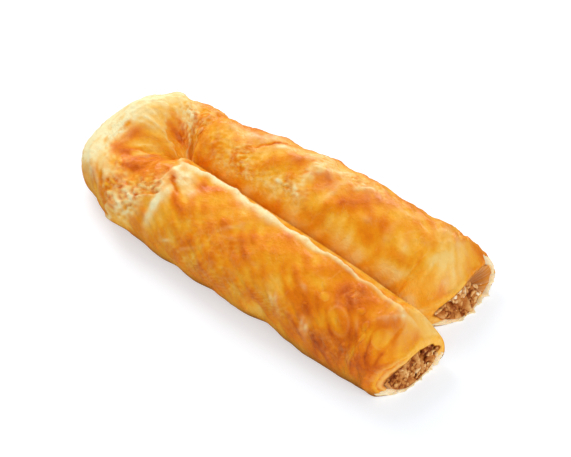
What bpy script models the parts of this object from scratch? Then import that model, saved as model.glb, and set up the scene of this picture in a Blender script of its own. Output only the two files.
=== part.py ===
"""Apple banitsa: a filled roll of thin pastry, folded double into a hairpin and cut across at both ends.

The roll lies on Z = 0 with its long way along X. The fold is at -X, the two cut ends are at +X, and the
two arms lie side by side against an upright plane along X, the seam. The arm at -Y is the longer one.

A place on the roll is told by two numbers: how far along the roll it is, from the cut end of the long arm
round the fold to the cut end of the short arm, and the angle round the roll's section, where 0 is the outer
side, a quarter turn is the top, a half turn is the side at the seam, and three quarters is the underside.
"""

import math

import bmesh
import bpy
import numpy as np

MM = 0.001

# Driving dimensions
LENGTH = 214 * MM  # outside of the fold to the end of the long arm
ROLL_WIDTH = 47 * MM  # one arm across
ROLL_HEIGHT = 32 * MM
SHORT_ARM_BY = 8 * MM  # how far the short arm's end lies behind the long arm's
FOLD_REACH = 51 * MM  # pinch of the fold to its outside, at its fullest
LIP_BULGE = 0.4 * MM  # how far the cut edge of the crust stands out

LONG_END_X = LENGTH / 2 - LIP_BULGE
SHORT_END_X = LONG_END_X - SHORT_ARM_BY
PINCH_X = FOLD_REACH - LENGTH / 2
SEAM_Y = -0.7 * MM  # the short arm is a little wider, so the seam isn't quite in the middle

# Lengths along the roll: long arm, fold, short arm
LONG_ARM = LONG_END_X - PINCH_X
FOLD = math.pi * FOLD_REACH / 2
SHORT_ARM = SHORT_END_X - PINCH_X
FOLD_END = LONG_ARM + FOLD
ROLL_END = FOLD_END + SHORT_ARM

# The roll is made by hand, so its width and height wander: place along the roll, and the size there
# as a share of ROLL_WIDTH or ROLL_HEIGHT.
WIDTHS = (
    (0, 0.87),
    (0.12 * LONG_ARM, 0.91),
    (0.4 * LONG_ARM, 0.99),
    (0.65 * LONG_ARM, 1.04),
    (0.9 * LONG_ARM, 1.03),
    (LONG_ARM + 0.14 * FOLD, 0.98),
    (LONG_ARM + 0.31 * FOLD, 1.11),
    (LONG_ARM + 0.5 * FOLD, 1.06),
    (LONG_ARM + 0.70 * FOLD, 0.96),
    (LONG_ARM + 0.78 * FOLD, 0.84),
    (FOLD_END, 0.73),
    (FOLD_END + 0.22 * SHORT_ARM, 0.91),
    (FOLD_END + 0.4 * SHORT_ARM, 1.0),
    (FOLD_END + 0.65 * SHORT_ARM, 1.03),
    (FOLD_END + 0.92 * SHORT_ARM, 1.04),
    (ROLL_END, 1.085),
)
HEIGHTS = (
    (0, 0.98),
    (0.5 * LONG_ARM, 1.03),
    (0.9 * LONG_ARM, 1.0),
    (LONG_ARM + 0.3 * FOLD, 0.93),
    (LONG_ARM + 0.55 * FOLD, 1.04),
    (LONG_ARM + 0.9 * FOLD, 0.98),
    (FOLD_END + 0.4 * SHORT_ARM, 1.08),
    (FOLD_END + 0.8 * SHORT_ARM, 1.06),
    (ROLL_END, 0.99),
)

# Section
TOP_FULLNESS = 2.25  # exponent of the superellipse: 2 is an ellipse, more is squarer
SEAM_FULLNESS = 2.9  # the side pressed against the other arm is flatter
FOOT_SHARE = 0.11  # share of the height lost to the flat that the roll rests on
SEAM_GAP = 0.45 * MM  # from the seam's plane to each arm
PINCH_RADIUS = 1.6 * MM  # the small dimple left where the fold closes on itself
PINCH_LENGTH = 14 * MM  # the dimple closes over this length of the seam
PART_WAYS = 1.8 * MM  # each arm leaves the seam by this much at its cut end
PART_LENGTH = 55 * MM
FUNNEL = 0.34  # how much lower the fold's top is at the pinch than at its outside
FUNNEL_TURN = 0.65  # the funnel fades in over this part of the fold's turn, in radians

# Walls between the crust and the filling
SIDE_WALL = 5 * MM
TOP_WALL = 5 * MM
BOTTOM_WALL = 3.6 * MM
LIP_TOP_WALLS = (8.5 * MM, 4.5 * MM)  # at a mouth: the long arm's and the short arm's layers above it
LIP_BOTTOM_WALL = 1.7 * MM
LONG_LIP_WALLS = (2.5 * MM, 7.5 * MM)  # beside a mouth: at the seam, outside
SHORT_LIP_WALLS = (9 * MM, 3 * MM)
LIP_LENGTH = 16 * MM
FOLD_TOP_WALL = 9 * MM  # the creased top of the fold is many layers thick
PINCH_WALL = 15 * MM  # no filling reaches the tight inside of the fold
FILLING_GAP = 0.3 * MM

# Cut ends
LONG_TUCK = (0.26, 0.34)  # share of the height by which the crust closes over a mouth: at the seam, outside
SHORT_TUCK = (0.42, 0.33)
TUCK_LENGTH = 16 * MM
END_LENGTH = 30 * MM  # over this length the roll takes on the shape of its cut end
SLANT = 32 * MM  # how far behind its lip a full roll's top would be cut off
LIP_LIFT = 8 * MM  # the height at which a cut end reaches furthest, below which it curls under
LONG_CORNERS = (0 * MM, 13 * MM)  # how far a cut end's corners lie behind its middle: at the seam, outside
SHORT_CORNERS = (16 * MM, 4 * MM)
TOP_CUTS = (0 * MM, 6.5 * MM)  # how much further back the outer side's top is cut off: long arm, short arm
END_FULLNESS = (3.2, 2.2)  # the section's fullness at the cut ends: long arm, short arm
MOUTH_DEPTH = 1.4 * MM  # how far the mouth's edge lies behind the lip
TEAR = 1.6 * MM  # the lip under a mouth is torn into points of this length
LONG_TEARS = (232, 256, 287, 320)  # where they are, in degrees round the section
SHORT_TEARS = (225, 262, 286, 304, 334)
TEAR_WIDTH = 9  # degrees
FILLING_BACK = 2.2 * MM  # the filling stops this far behind the mouth's edge
FILLING_LUMPS = 1.3 * MM

# Creases that run out from the pinch: direction in degrees round the fold from the long arm's side,
# depth, half width, and how far they reach as a share of ROLL_WIDTH
CREASES = (
    (12, 3.2 * MM, 3.4 * MM, 1.0),
    (40, 1.8 * MM, 3.2 * MM, 0.8),
    (66, 1.6 * MM, 3.0 * MM, 0.75),
    (96, 2.2 * MM, 3.2 * MM, 0.8),
    (124, 1.4 * MM, 2.6 * MM, 0.8),
    (146, 2.4 * MM, 3.0 * MM, 0.9),
    (172, 2.4 * MM, 3.4 * MM, 0.8),
)
CREASE_START = 7 * MM  # a crease reaches its depth this far from the pinch
CREASE_FADE = 0.3 * ROLL_WIDTH  # and fades out over this length at its end

# Steps where one layer of pastry laps over the next: place of its edge along the roll's top, how much
# further along the edge lies at the outer side, its height, and the length over which it sinks back
LAPS = (
    (LONG_ARM - 11 * MM, 15 * MM, 2.2 * MM, 24 * MM),
    (LONG_ARM + 0.75 * FOLD, 0, 2.8 * MM, 14 * MM),
    (LONG_ARM + 0.91 * FOLD, 0, 2.0 * MM, 10 * MM),
)

# Blisters in the crust: place along the roll, angle round it in degrees, half length, half breadth, lift
BLISTERS = (
    (12 * MM, 66, 7 * MM, 7 * MM, 0.6 * MM),
    (29 * MM, 79, 6 * MM, 6 * MM, 0.6 * MM),
    (35 * MM, 54, 8 * MM, 8 * MM, 0.8 * MM),
    (42 * MM, 96, 10 * MM, 8 * MM, 1.0 * MM),
    (55 * MM, 56, 9 * MM, 8 * MM, 0.8 * MM),
    (76 * MM, 84, 12 * MM, 9 * MM, 0.9 * MM),
    (100 * MM, 72, 12 * MM, 10 * MM, 0.8 * MM),
    (118 * MM, 48, 11 * MM, 9 * MM, 0.8 * MM),
    (132 * MM, 104, 9 * MM, 8 * MM, 1.2 * MM),
    (LONG_ARM + 0.08 * FOLD, 6, 13 * MM, 14 * MM, 0.8 * MM),
    (ROLL_END - 124 * MM, 62, 9 * MM, 9 * MM, 1.0 * MM),
    (ROLL_END - 112 * MM, 95, 11 * MM, 9 * MM, 1.6 * MM),
    (ROLL_END - 100 * MM, 114, 6 * MM, 6 * MM, 1.3 * MM),
    (ROLL_END - 88 * MM, 130, 7 * MM, 7 * MM, 1.0 * MM),
    (ROLL_END - 91 * MM, 84, 8 * MM, 8 * MM, 1.3 * MM),
    (ROLL_END - 76 * MM, 90, 7 * MM, 7 * MM, 1.0 * MM),
    (ROLL_END - 64 * MM, 80, 9 * MM, 9 * MM, 1.1 * MM),
    (ROLL_END - 38 * MM, 97, 9 * MM, 9 * MM, 0.9 * MM),
    (ROLL_END - 34 * MM, 54, 8 * MM, 8 * MM, 0.9 * MM),
    (ROLL_END - 20 * MM, 76, 8 * MM, 9 * MM, 0.5 * MM),
    (ROLL_END - 19 * MM, 40, 9 * MM, 9 * MM, -0.9 * MM),
)
BLISTER_FALL = 1.4  # how steeply a blister falls off from its middle
WAVE_HEIGHT = 0.6 * MM  # broad unevenness of the crust
WAVE_LENGTH = 24 * MM
WAVE_SEED = 11
WAVE_COUNT = 20
RELIEF_START = 0.12  # the crust's relief fades in over these shares of its height
RELIEF_FULL = 0.42
RELIEF_FROM_SEAM = 8 * MM
LUMP_LENGTH = 6 * MM  # size of the pieces of apple that show at the mouths
LUMP_SEED = 5

# Mesh density
RINGS_LONG_ARM = 46
RINGS_FOLD = 34
RINGS_SHORT_ARM = 42
RINGS_MOUTH = 5  # of the bore, in the stretch behind each mouth
RINGS_BORE = 26
RINGS_FACE = 5  # of the filling, across each of its end faces
POINTS_ROUND = 32

CRUST = {"Base Color": (0.84, 0.42, 0.09, 1), "Roughness": 0.38, "Metallic": 0}
FILLING = {"Base Color": (0.50, 0.28, 0.12, 1), "Roughness": 0.6, "Metallic": 0}


def ease(share):
    """Smooth step from 0 to 1."""
    share = np.clip(share, 0, 1)
    return share * share * (3 - 2 * share)


def mix(pair, share):
    """From the pair's first value at a share of 0 to its second at 1."""
    return pair[0] + (pair[1] - pair[0]) * share


def along_roll(table, place):
    """The value of WIDTHS or HEIGHTS at each place along the roll, eased between its points."""
    places, values = np.array(table).T
    index = np.clip(np.searchsorted(places, place) - 1, 0, len(places) - 2)
    share = (place - places[index]) / (places[index + 1] - places[index])
    return values[index] + ease(share) * (values[index + 1] - values[index])


def of_arm(place, long_values, short_values):
    """The long arm's values where a place is on the long arm, and the short arm's elsewhere."""
    return [np.where(place < ROLL_END / 2, *pair) for pair in zip(long_values, short_values)]


def fold_turn(place):
    """Angle round the fold: 0 on the long arm, half a turn on the short arm."""
    return np.clip((place - LONG_ARM) / FOLD, 0, 1) * math.pi


def fold_share(place):
    """1 over the fold and 0 on the arms."""
    turn = fold_turn(place)
    return ease(turn / FUNNEL_TURN) * ease((math.pi - turn) / FUNNEL_TURN)


def from_end(place):
    """Distance to the nearer cut end."""
    return np.minimum(place, ROLL_END - place)


def seam_side(place):
    """Distance from the seam's line, or from the pinch of the fold, to the near side of the roll."""
    from_fold = np.maximum(LONG_ARM - place, place - FOLD_END)
    dimple = (PINCH_RADIUS - SEAM_GAP) * (1 - ease(from_fold / PINCH_LENGTH))
    parting = PART_WAYS * (1 - ease(from_end(place) / PART_LENGTH))
    return SEAM_GAP + dimple + parting


def placed(place, across, up):
    """Points in space from places along the roll, distances out from its seam side, and heights."""
    turn = fold_turn(place)
    x = PINCH_X + np.maximum(LONG_ARM - place, 0) + np.maximum(place - FOLD_END, 0)
    out = seam_side(place) + across

    # Towards a cut end the roll is tucked down over its mouth, and cut at a slant with rounded corners.
    share = across / (ROLL_WIDTH * along_roll(WIDTHS, place))
    tuck = mix(of_arm(place, LONG_TUCK, SHORT_TUCK), share)
    at_seam, outside = of_arm(place, LONG_CORNERS, SHORT_CORNERS)
    behind = np.where(share < 0.5, at_seam, outside) * (2 * share - 1) ** 2
    behind = behind + SLANT * ((up * (1 - tuck) - LIP_LIFT) / ROLL_HEIGHT) ** 2
    behind = behind + np.where(place < ROLL_END / 2, *TOP_CUTS) * share * up / ROLL_HEIGHT
    x = x - behind * (1 - ease(from_end(place) / END_LENGTH))
    up = up * (1 - tuck * np.clip(1 - from_end(place) / TUCK_LENGTH, 0, 1) ** 2)
    return np.stack([x - np.sin(turn) * out, SEAM_Y - np.cos(turn) * out, up + 0 * out], -1)


def roll_size(place):
    """Width and height of the roll."""
    return ROLL_WIDTH * along_roll(WIDTHS, place), ROLL_HEIGHT * along_roll(HEIGHTS, place)


def waves(points, length, seed):
    """Soft random field of about unit height: a sum of sine waves in random directions."""
    random = np.random.default_rng(seed)
    heading = random.normal(size=(WAVE_COUNT, 3))
    heading /= np.linalg.norm(heading, axis=1, keepdims=True)
    heading *= (2 * math.pi / length) * random.uniform(0.6, 1.5, (WAVE_COUNT, 1))
    phase = random.uniform(0, 2 * math.pi, WAVE_COUNT)
    return np.sin(points @ heading.T + phase).sum(-1) / math.sqrt(WAVE_COUNT / 2)


def creases(points):
    """Depth of the creases that fan out from the pinch."""
    x, y = points[..., 0] - PINCH_X, points[..., 1] - SEAM_Y
    depth = np.zeros_like(x)
    for degrees, deepest, half_width, reach in CREASES:
        heading = math.radians(degrees)
        run = -x * math.sin(heading) - y * math.cos(heading)
        aside = x * math.cos(heading) - y * math.sin(heading)
        fade = ease(run / CREASE_START) * ease((reach * ROLL_WIDTH - run) / CREASE_FADE)
        depth += deepest * fade * np.exp(-((aside / half_width) ** 2))
    return depth


def laps(place, angle):
    """Height of the layers that lap over their neighbours."""
    height = np.zeros_like(place + angle)
    for edge, lean, rise, length in LAPS:
        behind = (edge + lean * np.cos(angle) - place) / length
        height += np.where(behind >= 0, rise * np.clip(1 - behind, 0, 1), 0)
    return height


def blisters(place, angle):
    """Height of the blisters in the crust."""
    height = np.zeros_like(place + angle)
    for centre, degrees, half_length, half_breadth, lift in BLISTERS:
        along = (place - centre) / half_length
        around = (angle - math.radians(degrees)) * (ROLL_WIDTH / 2) / half_breadth
        height += lift * np.exp(-BLISTER_FALL * (along**2 + around**2))
    return height


def crust(place, angle):
    """Points of the crust's outer skin."""
    width, height = roll_size(place)
    cosine, sine = np.cos(angle), np.sin(angle)
    fullness = np.where(cosine > 0, TOP_FULLNESS, SEAM_FULLNESS)
    end_fullness = np.where(place < ROLL_END / 2, *END_FULLNESS)
    power = 2 / (fullness + (end_fullness - fullness) * (1 - ease(from_end(place) / END_LENGTH)))
    across = width * (1 + np.sign(cosine) * np.abs(cosine) ** power) / 2
    up_share = (1 + np.sign(sine) * np.abs(sine) ** power) / 2
    up = height * np.maximum(up_share - FOOT_SHARE, 0) / (1 - FOOT_SHARE)
    up *= 1 - FUNNEL * fold_share(place) * (1 - across / width) ** 2

    # Relief stands along the section's normal, and leaves alone the foot and the side at the seam.
    normal = np.stack([(across - width / 2) / width**2, (up - height / 2) / height**2], -1)
    normal /= np.linalg.norm(normal, axis=-1, keepdims=True)
    upper = ease((up / height - RELIEF_START) / (RELIEF_FULL - RELIEF_START))
    outer = ease(across / RELIEF_FROM_SEAM)
    base = placed(place, across, up)
    rise = WAVE_HEIGHT * waves(np.stack([place + 0 * across, across, up], -1), WAVE_LENGTH, WAVE_SEED)
    rise = (rise + blisters(place, angle) + laps(place, angle)) * upper * outer - creases(base) * upper
    across = across + rise * normal[..., 0]
    up = np.maximum(up + rise * normal[..., 1], 0)
    points = placed(place, across, up)

    points[..., 0] += TEAR * tears(place, angle)
    return points


def tears(place, angle):
    """The points of the torn lip under each mouth, from 0 to 1."""
    near = sum(np.exp(-(((np.degrees(angle) - at) / TEAR_WIDTH) ** 2)) for at in LONG_TEARS)
    far = sum(np.exp(-(((np.degrees(angle) - at) / TEAR_WIDTH) ** 2)) for at in SHORT_TEARS)
    return np.where(place < ROLL_END / 2, near, far) * (from_end(place) == 0)


def bore(place, angle, inset):
    """Points of the hollow that the filling lies in, or of the filling itself with an inset."""
    width, height = roll_size(place)
    folded = fold_share(place)
    inward = ease(from_end(place) / LIP_LENGTH)
    at_seam, outside = of_arm(place, LONG_LIP_WALLS, SHORT_LIP_WALLS)
    seam_wall = mix((at_seam, SIDE_WALL), inward) + (PINCH_WALL - SIDE_WALL) * folded + inset
    side_wall = mix((outside, SIDE_WALL), inward) + inset
    lip_top = np.where(place < ROLL_END / 2, *LIP_TOP_WALLS)
    roof = mix((lip_top, TOP_WALL), inward) + (FOLD_TOP_WALL - TOP_WALL) * folded + inset
    floor = mix((LIP_BOTTOM_WALL, BOTTOM_WALL), inward) + inset
    half_width = (width - seam_wall - side_wall) / 2
    half_height = (height - roof - floor) / 2
    across = seam_wall + half_width * (1 + np.cos(angle))
    up = floor + half_height * (1 + np.sin(angle))
    return placed(place, across, up)


def roll_places():
    """Where the crust's rings stand along the roll."""
    return np.concatenate(
        [
            np.linspace(0, LONG_ARM, RINGS_LONG_ARM, endpoint=False),
            np.linspace(LONG_ARM, FOLD_END, RINGS_FOLD, endpoint=False),
            np.linspace(FOLD_END, ROLL_END, RINGS_SHORT_ARM),
        ]
    )[:, None]


def bore_places():
    """Where the bore's rings stand: close behind each mouth, and wider apart between."""
    mouth = np.linspace(MOUTH_DEPTH + FILLING_BACK, TUCK_LENGTH, RINGS_MOUTH, endpoint=False)
    between = np.linspace(TUCK_LENGTH, ROLL_END - TUCK_LENGTH, RINGS_BORE)
    start = np.concatenate([[MOUTH_DEPTH], mouth])
    return np.concatenate([start, between, ROLL_END - start[::-1]])[:, None]


def round_angles():
    return np.linspace(0, 2 * math.pi, POINTS_ROUND, endpoint=False)[None, :]


def lip(outer, inner):
    """A ring that rounds the pastry's cut edge between the crust and the bore."""
    ring = (outer + inner) / 2
    ring[:, 0] = np.maximum(outer[:, 0], inner[:, 0]) + LIP_BULGE
    return ring


def face(ring, seed):
    """Rings from the middle of an end face of the filling out to its edge, lumpy with apple."""
    middle = ring.mean(0)
    shares = np.linspace(0, 1, RINGS_FACE + 1)[:-1, None, None]
    rings = middle + shares * (ring - middle)
    rings[..., 0] += FILLING_LUMPS * (1 - shares[..., 0] ** 4) * waves(rings, LUMP_LENGTH, seed)
    rings[0] = rings[0].mean(0)
    return rings


def skin(name, rings, finish):
    """One object from a stack of rings: Blender's grid, wrapped round them and welded."""
    count, around = rings.shape[:2]
    bm = bmesh.new()
    bmesh.ops.create_grid(bm, x_segments=count - 1, y_segments=around, size=1)
    for vertex in bm.verts:
        ring = round((vertex.co.x + 1) / 2 * (count - 1))
        point = round((vertex.co.y + 1) / 2 * around) % around
        vertex.co = rings[ring, point]
    bmesh.ops.remove_doubles(bm, verts=bm.verts, dist=1e-6)
    bmesh.ops.recalc_face_normals(bm, faces=bm.faces)
    mesh = bpy.data.meshes.new(name)
    bm.to_mesh(mesh)
    bm.free()
    mesh.shade_smooth()
    mesh.materials.append(material(name, finish))
    return bpy.data.objects.new(name, mesh)


def material(name, finish):
    made = bpy.data.materials.new(name)
    made.use_nodes = True
    shader = made.node_tree.nodes["Principled BSDF"]
    for socket, value in finish.items():
        shader.inputs[socket].default_value = value
    return made


def pastry():
    """The crust, the lips of both mouths and the bore between them, as one closed skin."""
    outer = crust(roll_places(), round_angles())
    inner = bore(bore_places(), round_angles(), 0)
    far_lip, near_lip = lip(outer[-1], inner[-1]), lip(outer[0], inner[0])
    rings = np.concatenate([outer, far_lip[None], inner[::-1], near_lip[None], outer[:1]])
    return skin("pastry_roll", rings, CRUST)


def filling():
    """The apple filling, which runs through the whole roll and shows at both mouths."""
    body = bore(bore_places()[1:-1], round_angles(), FILLING_GAP)
    near, far = face(body[0], LUMP_SEED), face(body[-1], LUMP_SEED + 1)
    return skin("apple_filling", np.concatenate([near, body, far[::-1]]), FILLING)


def main():
    for old in list(bpy.data.objects):
        bpy.data.objects.remove(old)
    banitsa = bpy.data.collections.new("apple_banitsa")
    bpy.context.scene.collection.children.link(banitsa)
    for piece in (pastry(), filling()):
        banitsa.objects.link(piece)


main()
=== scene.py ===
# Apple banitsa: a filled roll of thin baked pastry, folded double and cut across at both ends.
# Lengths are in millimetres until a mesh is made. A point on the roll is told by its place along it, from
# the long arm's cut end round the fold to the short arm's, and its angle round the section in degrees:
# 0 is the outer side, 90 the top, 180 the side at the seam between the arms, and -90 the underside.
import math

import bpy
import numpy as np
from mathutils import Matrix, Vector


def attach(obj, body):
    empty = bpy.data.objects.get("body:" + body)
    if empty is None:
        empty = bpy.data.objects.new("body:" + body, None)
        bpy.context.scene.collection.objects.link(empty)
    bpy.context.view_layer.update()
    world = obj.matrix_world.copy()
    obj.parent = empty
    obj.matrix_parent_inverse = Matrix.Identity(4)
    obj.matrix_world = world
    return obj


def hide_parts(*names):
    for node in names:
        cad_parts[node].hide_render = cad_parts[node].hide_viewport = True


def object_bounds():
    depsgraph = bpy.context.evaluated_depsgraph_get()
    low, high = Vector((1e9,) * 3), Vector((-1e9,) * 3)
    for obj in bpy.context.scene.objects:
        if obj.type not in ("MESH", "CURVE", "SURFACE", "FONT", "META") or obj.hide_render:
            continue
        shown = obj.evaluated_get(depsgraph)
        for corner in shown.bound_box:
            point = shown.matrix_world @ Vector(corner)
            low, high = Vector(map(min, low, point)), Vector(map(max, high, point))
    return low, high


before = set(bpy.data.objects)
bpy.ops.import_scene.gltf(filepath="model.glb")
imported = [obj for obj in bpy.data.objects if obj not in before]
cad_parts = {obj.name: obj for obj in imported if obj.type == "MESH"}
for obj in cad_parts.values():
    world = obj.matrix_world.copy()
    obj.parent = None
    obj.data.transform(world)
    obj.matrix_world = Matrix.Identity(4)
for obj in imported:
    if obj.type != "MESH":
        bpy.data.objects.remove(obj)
cadLow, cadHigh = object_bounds()

roll = {
    "length": 214,  # outside of the fold to the end of the long arm
    "width": 47,  # one arm across
    "height": 32,
    "shortArmBy": 8,  # how far the short arm's end lies behind the long arm's
    "foldReach": 51,  # pinch of the fold to its outside
    "lipBulge": 0.4,
    "seamY": -0.7,
    "topFullness": 2.25,  # exponents of the superellipse that the section is
    "seamFullness": 2.9,
    "endFullness": (3.2, 2.2),  # at the long arm's end and the short arm's
    "footShare": 0.11,  # share of the height lost to the flat underneath
    "seamGap": 0.45,
    "pinchRadius": 1.6,
    "pinchLength": 14,
    "partWays": 1.8,  # each arm leaves the seam by this much at its cut end
    "partLength": 55,
    "funnel": 0.34,  # how much lower the fold's top is at the pinch than at its outside
    "funnelTurn": 0.65,  # radians
}
mm = (cadHigh.x - cadLow.x) / roll["length"]  # the frame's own size gives the scale

longEnd = roll["length"] / 2 - roll["lipBulge"]
pinchX = roll["foldReach"] - roll["length"] / 2
longArm = longEnd - pinchX
foldLength = math.pi * roll["foldReach"] / 2
shortArm = longArm - roll["shortArmBy"]
foldEnd = longArm + foldLength
rollEnd = foldEnd + shortArm

# Each arm's width and height wander: place along the roll, share of the width or height there
widths = (
    (0, 0.87), (0.12 * longArm, 0.91), (0.4 * longArm, 0.99), (0.65 * longArm, 1.04),
    (0.9 * longArm, 1.03), (longArm + 0.14 * foldLength, 0.98), (longArm + 0.31 * foldLength, 1.11),
    (longArm + 0.5 * foldLength, 1.06), (longArm + 0.7 * foldLength, 0.96),
    (longArm + 0.78 * foldLength, 0.84), (foldEnd, 0.73), (foldEnd + 0.22 * shortArm, 0.91),
    (foldEnd + 0.4 * shortArm, 1), (foldEnd + 0.65 * shortArm, 1.03), (foldEnd + 0.92 * shortArm, 1.04),
    (rollEnd, 1.085),
)
heights = (
    (0, 0.98), (0.5 * longArm, 1.03), (0.9 * longArm, 1), (longArm + 0.3 * foldLength, 0.93),
    (longArm + 0.55 * foldLength, 1.04), (longArm + 0.9 * foldLength, 0.98),
    (foldEnd + 0.4 * shortArm, 1.08), (foldEnd + 0.8 * shortArm, 1.06), (rollEnd, 0.99),
)

mouth = {
    "seamTucks": (0.26, 0.42),  # share of the height by which the crust closes over it: long arm, short arm
    "outerTucks": (0.34, 0.33),
    "tuckLength": 16,
    "endLength": 30,
    "slant": 32,
    "topCuts": (0, 6.5),  # how much further back the outer side's top is cut off
    "lipLift": 8,
    "seamCorners": (0, 16),
    "outerCorners": (13, 4),
    "sideWall": 5,
    "topWall": 5,
    "bottomWall": 3.6,
    "lipTopWalls": (8.5, 7.2),
    "lipBottomWall": 1.7,
    "seamWalls": (2.5, 9),
    "outerWalls": (7.5, 3),
    "lipLength": 16,
    "foldTopWall": 9,
    "pinchWall": 15,
    "longLip": (172, 340),  # angles between which the cut edge is a thin pale lip
    "shortLip": (208, 408),
    "lipFade": 30,
    "depth": 1.4,  # how far the mouth's inner edge lies behind the lip
}


def ease(share):  # smooth step from 0 to 1
    share = np.clip(share, 0, 1)
    return share * share * (3 - 2 * share)


def ramp(at, start, over):  # smooth step from start on, downwards if it runs over less than 0
    return ease((at - start) / over)


def rise(at, height, start, over):  # the same, up to a height
    return height * ramp(at, start, over)


def window(at, start, stop, fade):  # 1 between the two, easing to 0 at both
    return ease((at - start) / fade) * ease((stop - at) / fade)


def positive(values):  # 0 where they are less
    return np.maximum(values, 0)


def bell(at, middle, halfWidth):  # exp(-x^2) of the distance from the middle in half widths
    return np.exp(-(((at - middle) / halfWidth) ** 2))


def blend(pair, share):  # from the pair's first value at a share of 0 to its second at 1
    return pair[0] + (pair[1] - pair[0]) * share


def readTable(table, at):  # value of a table of (where, value) rows, eased between its rows
    stops, values = np.array(table, float).T
    index = np.clip(np.searchsorted(stops, at) - 1, 0, len(stops) - 2)
    share = (at - stops[index]) / (stops[index + 1] - stops[index])
    return values[index] + ease(share) * (values[index + 1] - values[index])


def ofArm(place, pair):  # the pair's first value in the long arm's half of the roll, its second in the rest
    return np.where(place < rollEnd / 2, *pair)


def fromEnd(place):  # distance from the nearer cut end
    return np.minimum(place, rollEnd - place)


def turnOf(place):  # radians round the fold
    return np.clip((place - longArm) / foldLength, 0, 1) * math.pi


def foldShare(place):  # 1 round the fold, easing to 0 in the arms
    return window(turnOf(place), 0, math.pi, roll["funnelTurn"])


def rollSize(place):  # the roll's width and height there
    return roll["width"] * readTable(widths, place), roll["height"] * readTable(heights, place)


# Straight along an arm, or on an arc round the pinch. The ends slant back by the square of the height above
# the lip, and tuck under by the square of the nearness to the end.
def placed(place, across, up):
    turn = turnOf(place)
    fromFold = np.maximum(longArm - place, place - foldEnd)
    dimple = (roll["pinchRadius"] - roll["seamGap"]) * (1 - ease(fromFold / roll["pinchLength"]))
    parting = roll["partWays"] * (1 - ease(fromEnd(place) / roll["partLength"]))
    out = roll["seamGap"] + dimple + parting + across
    x = pinchX + positive(longArm - place) + positive(place - foldEnd)
    share = across / (roll["width"] * readTable(widths, place))
    tuck = blend((ofArm(place, mouth["seamTucks"]), ofArm(place, mouth["outerTucks"])), share)
    corner = np.where(share < 0.5, ofArm(place, mouth["seamCorners"]), ofArm(place, mouth["outerCorners"]))
    behind = corner * (2 * share - 1) ** 2
    behind = behind + mouth["slant"] * ((up * (1 - tuck) - mouth["lipLift"]) / roll["height"]) ** 2
    behind = behind + ofArm(place, mouth["topCuts"]) * share * up / roll["height"]
    x = x - behind * (1 - ease(fromEnd(place) / mouth["endLength"]))
    up = up * (1 - tuck * np.clip(1 - fromEnd(place) / mouth["tuckLength"], 0, 1) ** 2)
    return np.stack([x - np.sin(turn) * out, roll["seamY"] - np.cos(turn) * out, up + 0 * out], -1)


def waves(points, length, seed, count=20):  # sum of sine waves in seeded directions, about unit height
    random = np.random.default_rng(seed)
    heading = random.normal(size=(count, 3))
    heading /= np.linalg.norm(heading, axis=1, keepdims=True)
    heading *= (2 * math.pi / length) * random.uniform(0.6, 1.5, (count, 1))
    phase = random.uniform(0, 2 * math.pi, count)
    return np.sin(points @ heading.T + phase).sum(-1) / math.sqrt(count / 2)


def ripple(points, *rows):  # waves of several sizes added up, each row a height, a length and a seed
    return sum(height * waves(points, length, seed) for height, length, seed in rows)


def signedAngle(angle):  # degrees from -90 to 270, so that the jump lies underneath
    return (angle + 90) % 360 - 90


# Marks on the crust. Each row has a place, an angle, a lean in degrees from the roll's own direction, half
# a length and half a breadth, then what it does. Places are from the long end, in shares of the fold, or
# from the short end.
blisters = {
    "steepness": 1.6,
    "rim": 0.07,  # how much creamier its edge is
    "rimAt": (1, 0.22),  # squared distance from its middle in its own sizes, half width
    "ring": 0.08,  # how much browner the ring round a blister is
    "ringAt": (1.7, 0.5),
    "ringedBelow": -0.1,  # only blisters that are this much paler have them
    "near": (  # lift, change in browning
        (34, 56, 45, 7.6, 4.6, 0.7, -0.12), (8, 76, 45, 4.7, 4.3, 0.5, -0.15),
        (21, 72, 45, 2.3, 2, 0.4, -0.12), (16, 58, 60, 2.8, 1.8, 0.35, -0.12),
        (29, 82, 0, 1.8, 1.5, 0.55, -0.12), (19, 86, 0, 3.4, 2.3, 0.3, -0.08),
        (40, 93, 0, 0.9, 0.8, 0.4, -0.15), (37, 90, 0, 1, 0.8, 0.4, -0.15),
        (52, 53, 0, 0.9, 0.8, 0.3, -0.15), (47, 73, 45, 2.6, 2, 0.4, -0.16),
        (26, 33, 0, 1, 0.9, 0.35, -0.12), (76, 84, -30, 6, 4, 0.4, -0.04),
        (100, 72, 20, 6.5, 5, 0.4, -0.02), (118, 48, 10, 7, 5, 0.4, 0), (62, 40, 20, 6, 4.5, 0.4, -0.05),
    ),
    "fold": (
        (0.08, 6, 0, 11, 12, 0.8, 0), (0.24, 94, 0, 2.5, 2.5, 1, -0.26), (0.17, 69, 40, 3, 1.3, 0.5, -0.3),
        (0.45, 60, 30, 5, 4, 0.4, -0.05), (0.57, 55, 0, 4, 4, 0.4, -0.05),
    ),
    "far": (
        (112, 96, 0, 8, 6.6, 1.2, 0), (103, 119, 0, 1.6, 1.2, 0.3, -0.2), (95, 84, 0, 4, 3, 0.6, -0.12),
        (88, 130, 20, 6, 5, 0.6, 0), (76, 112, 30, 5, 4, 0.5, -0.02), (64, 80, 0, 7, 5.5, 0.5, 0.05),
        (124, 62, 0, 7, 6, 0.5, -0.03), (38, 97, 30, 7, 5, 0.5, -0.02), (20, 76, 0, 8, 7, 0.4, -0.03),
        (134, 100, 40, 4, 3, 0.4, -0.03), (96, 20, 0, 8, 6, 0.5, -0.03), (60, 12, 20, 7, 5, 0.5, 0.05),
        (34, 54, 0, 7, 7, 0.9, 0), (19, 40, 0, 8, 8, -0.9, 0),
    ),
}
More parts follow.
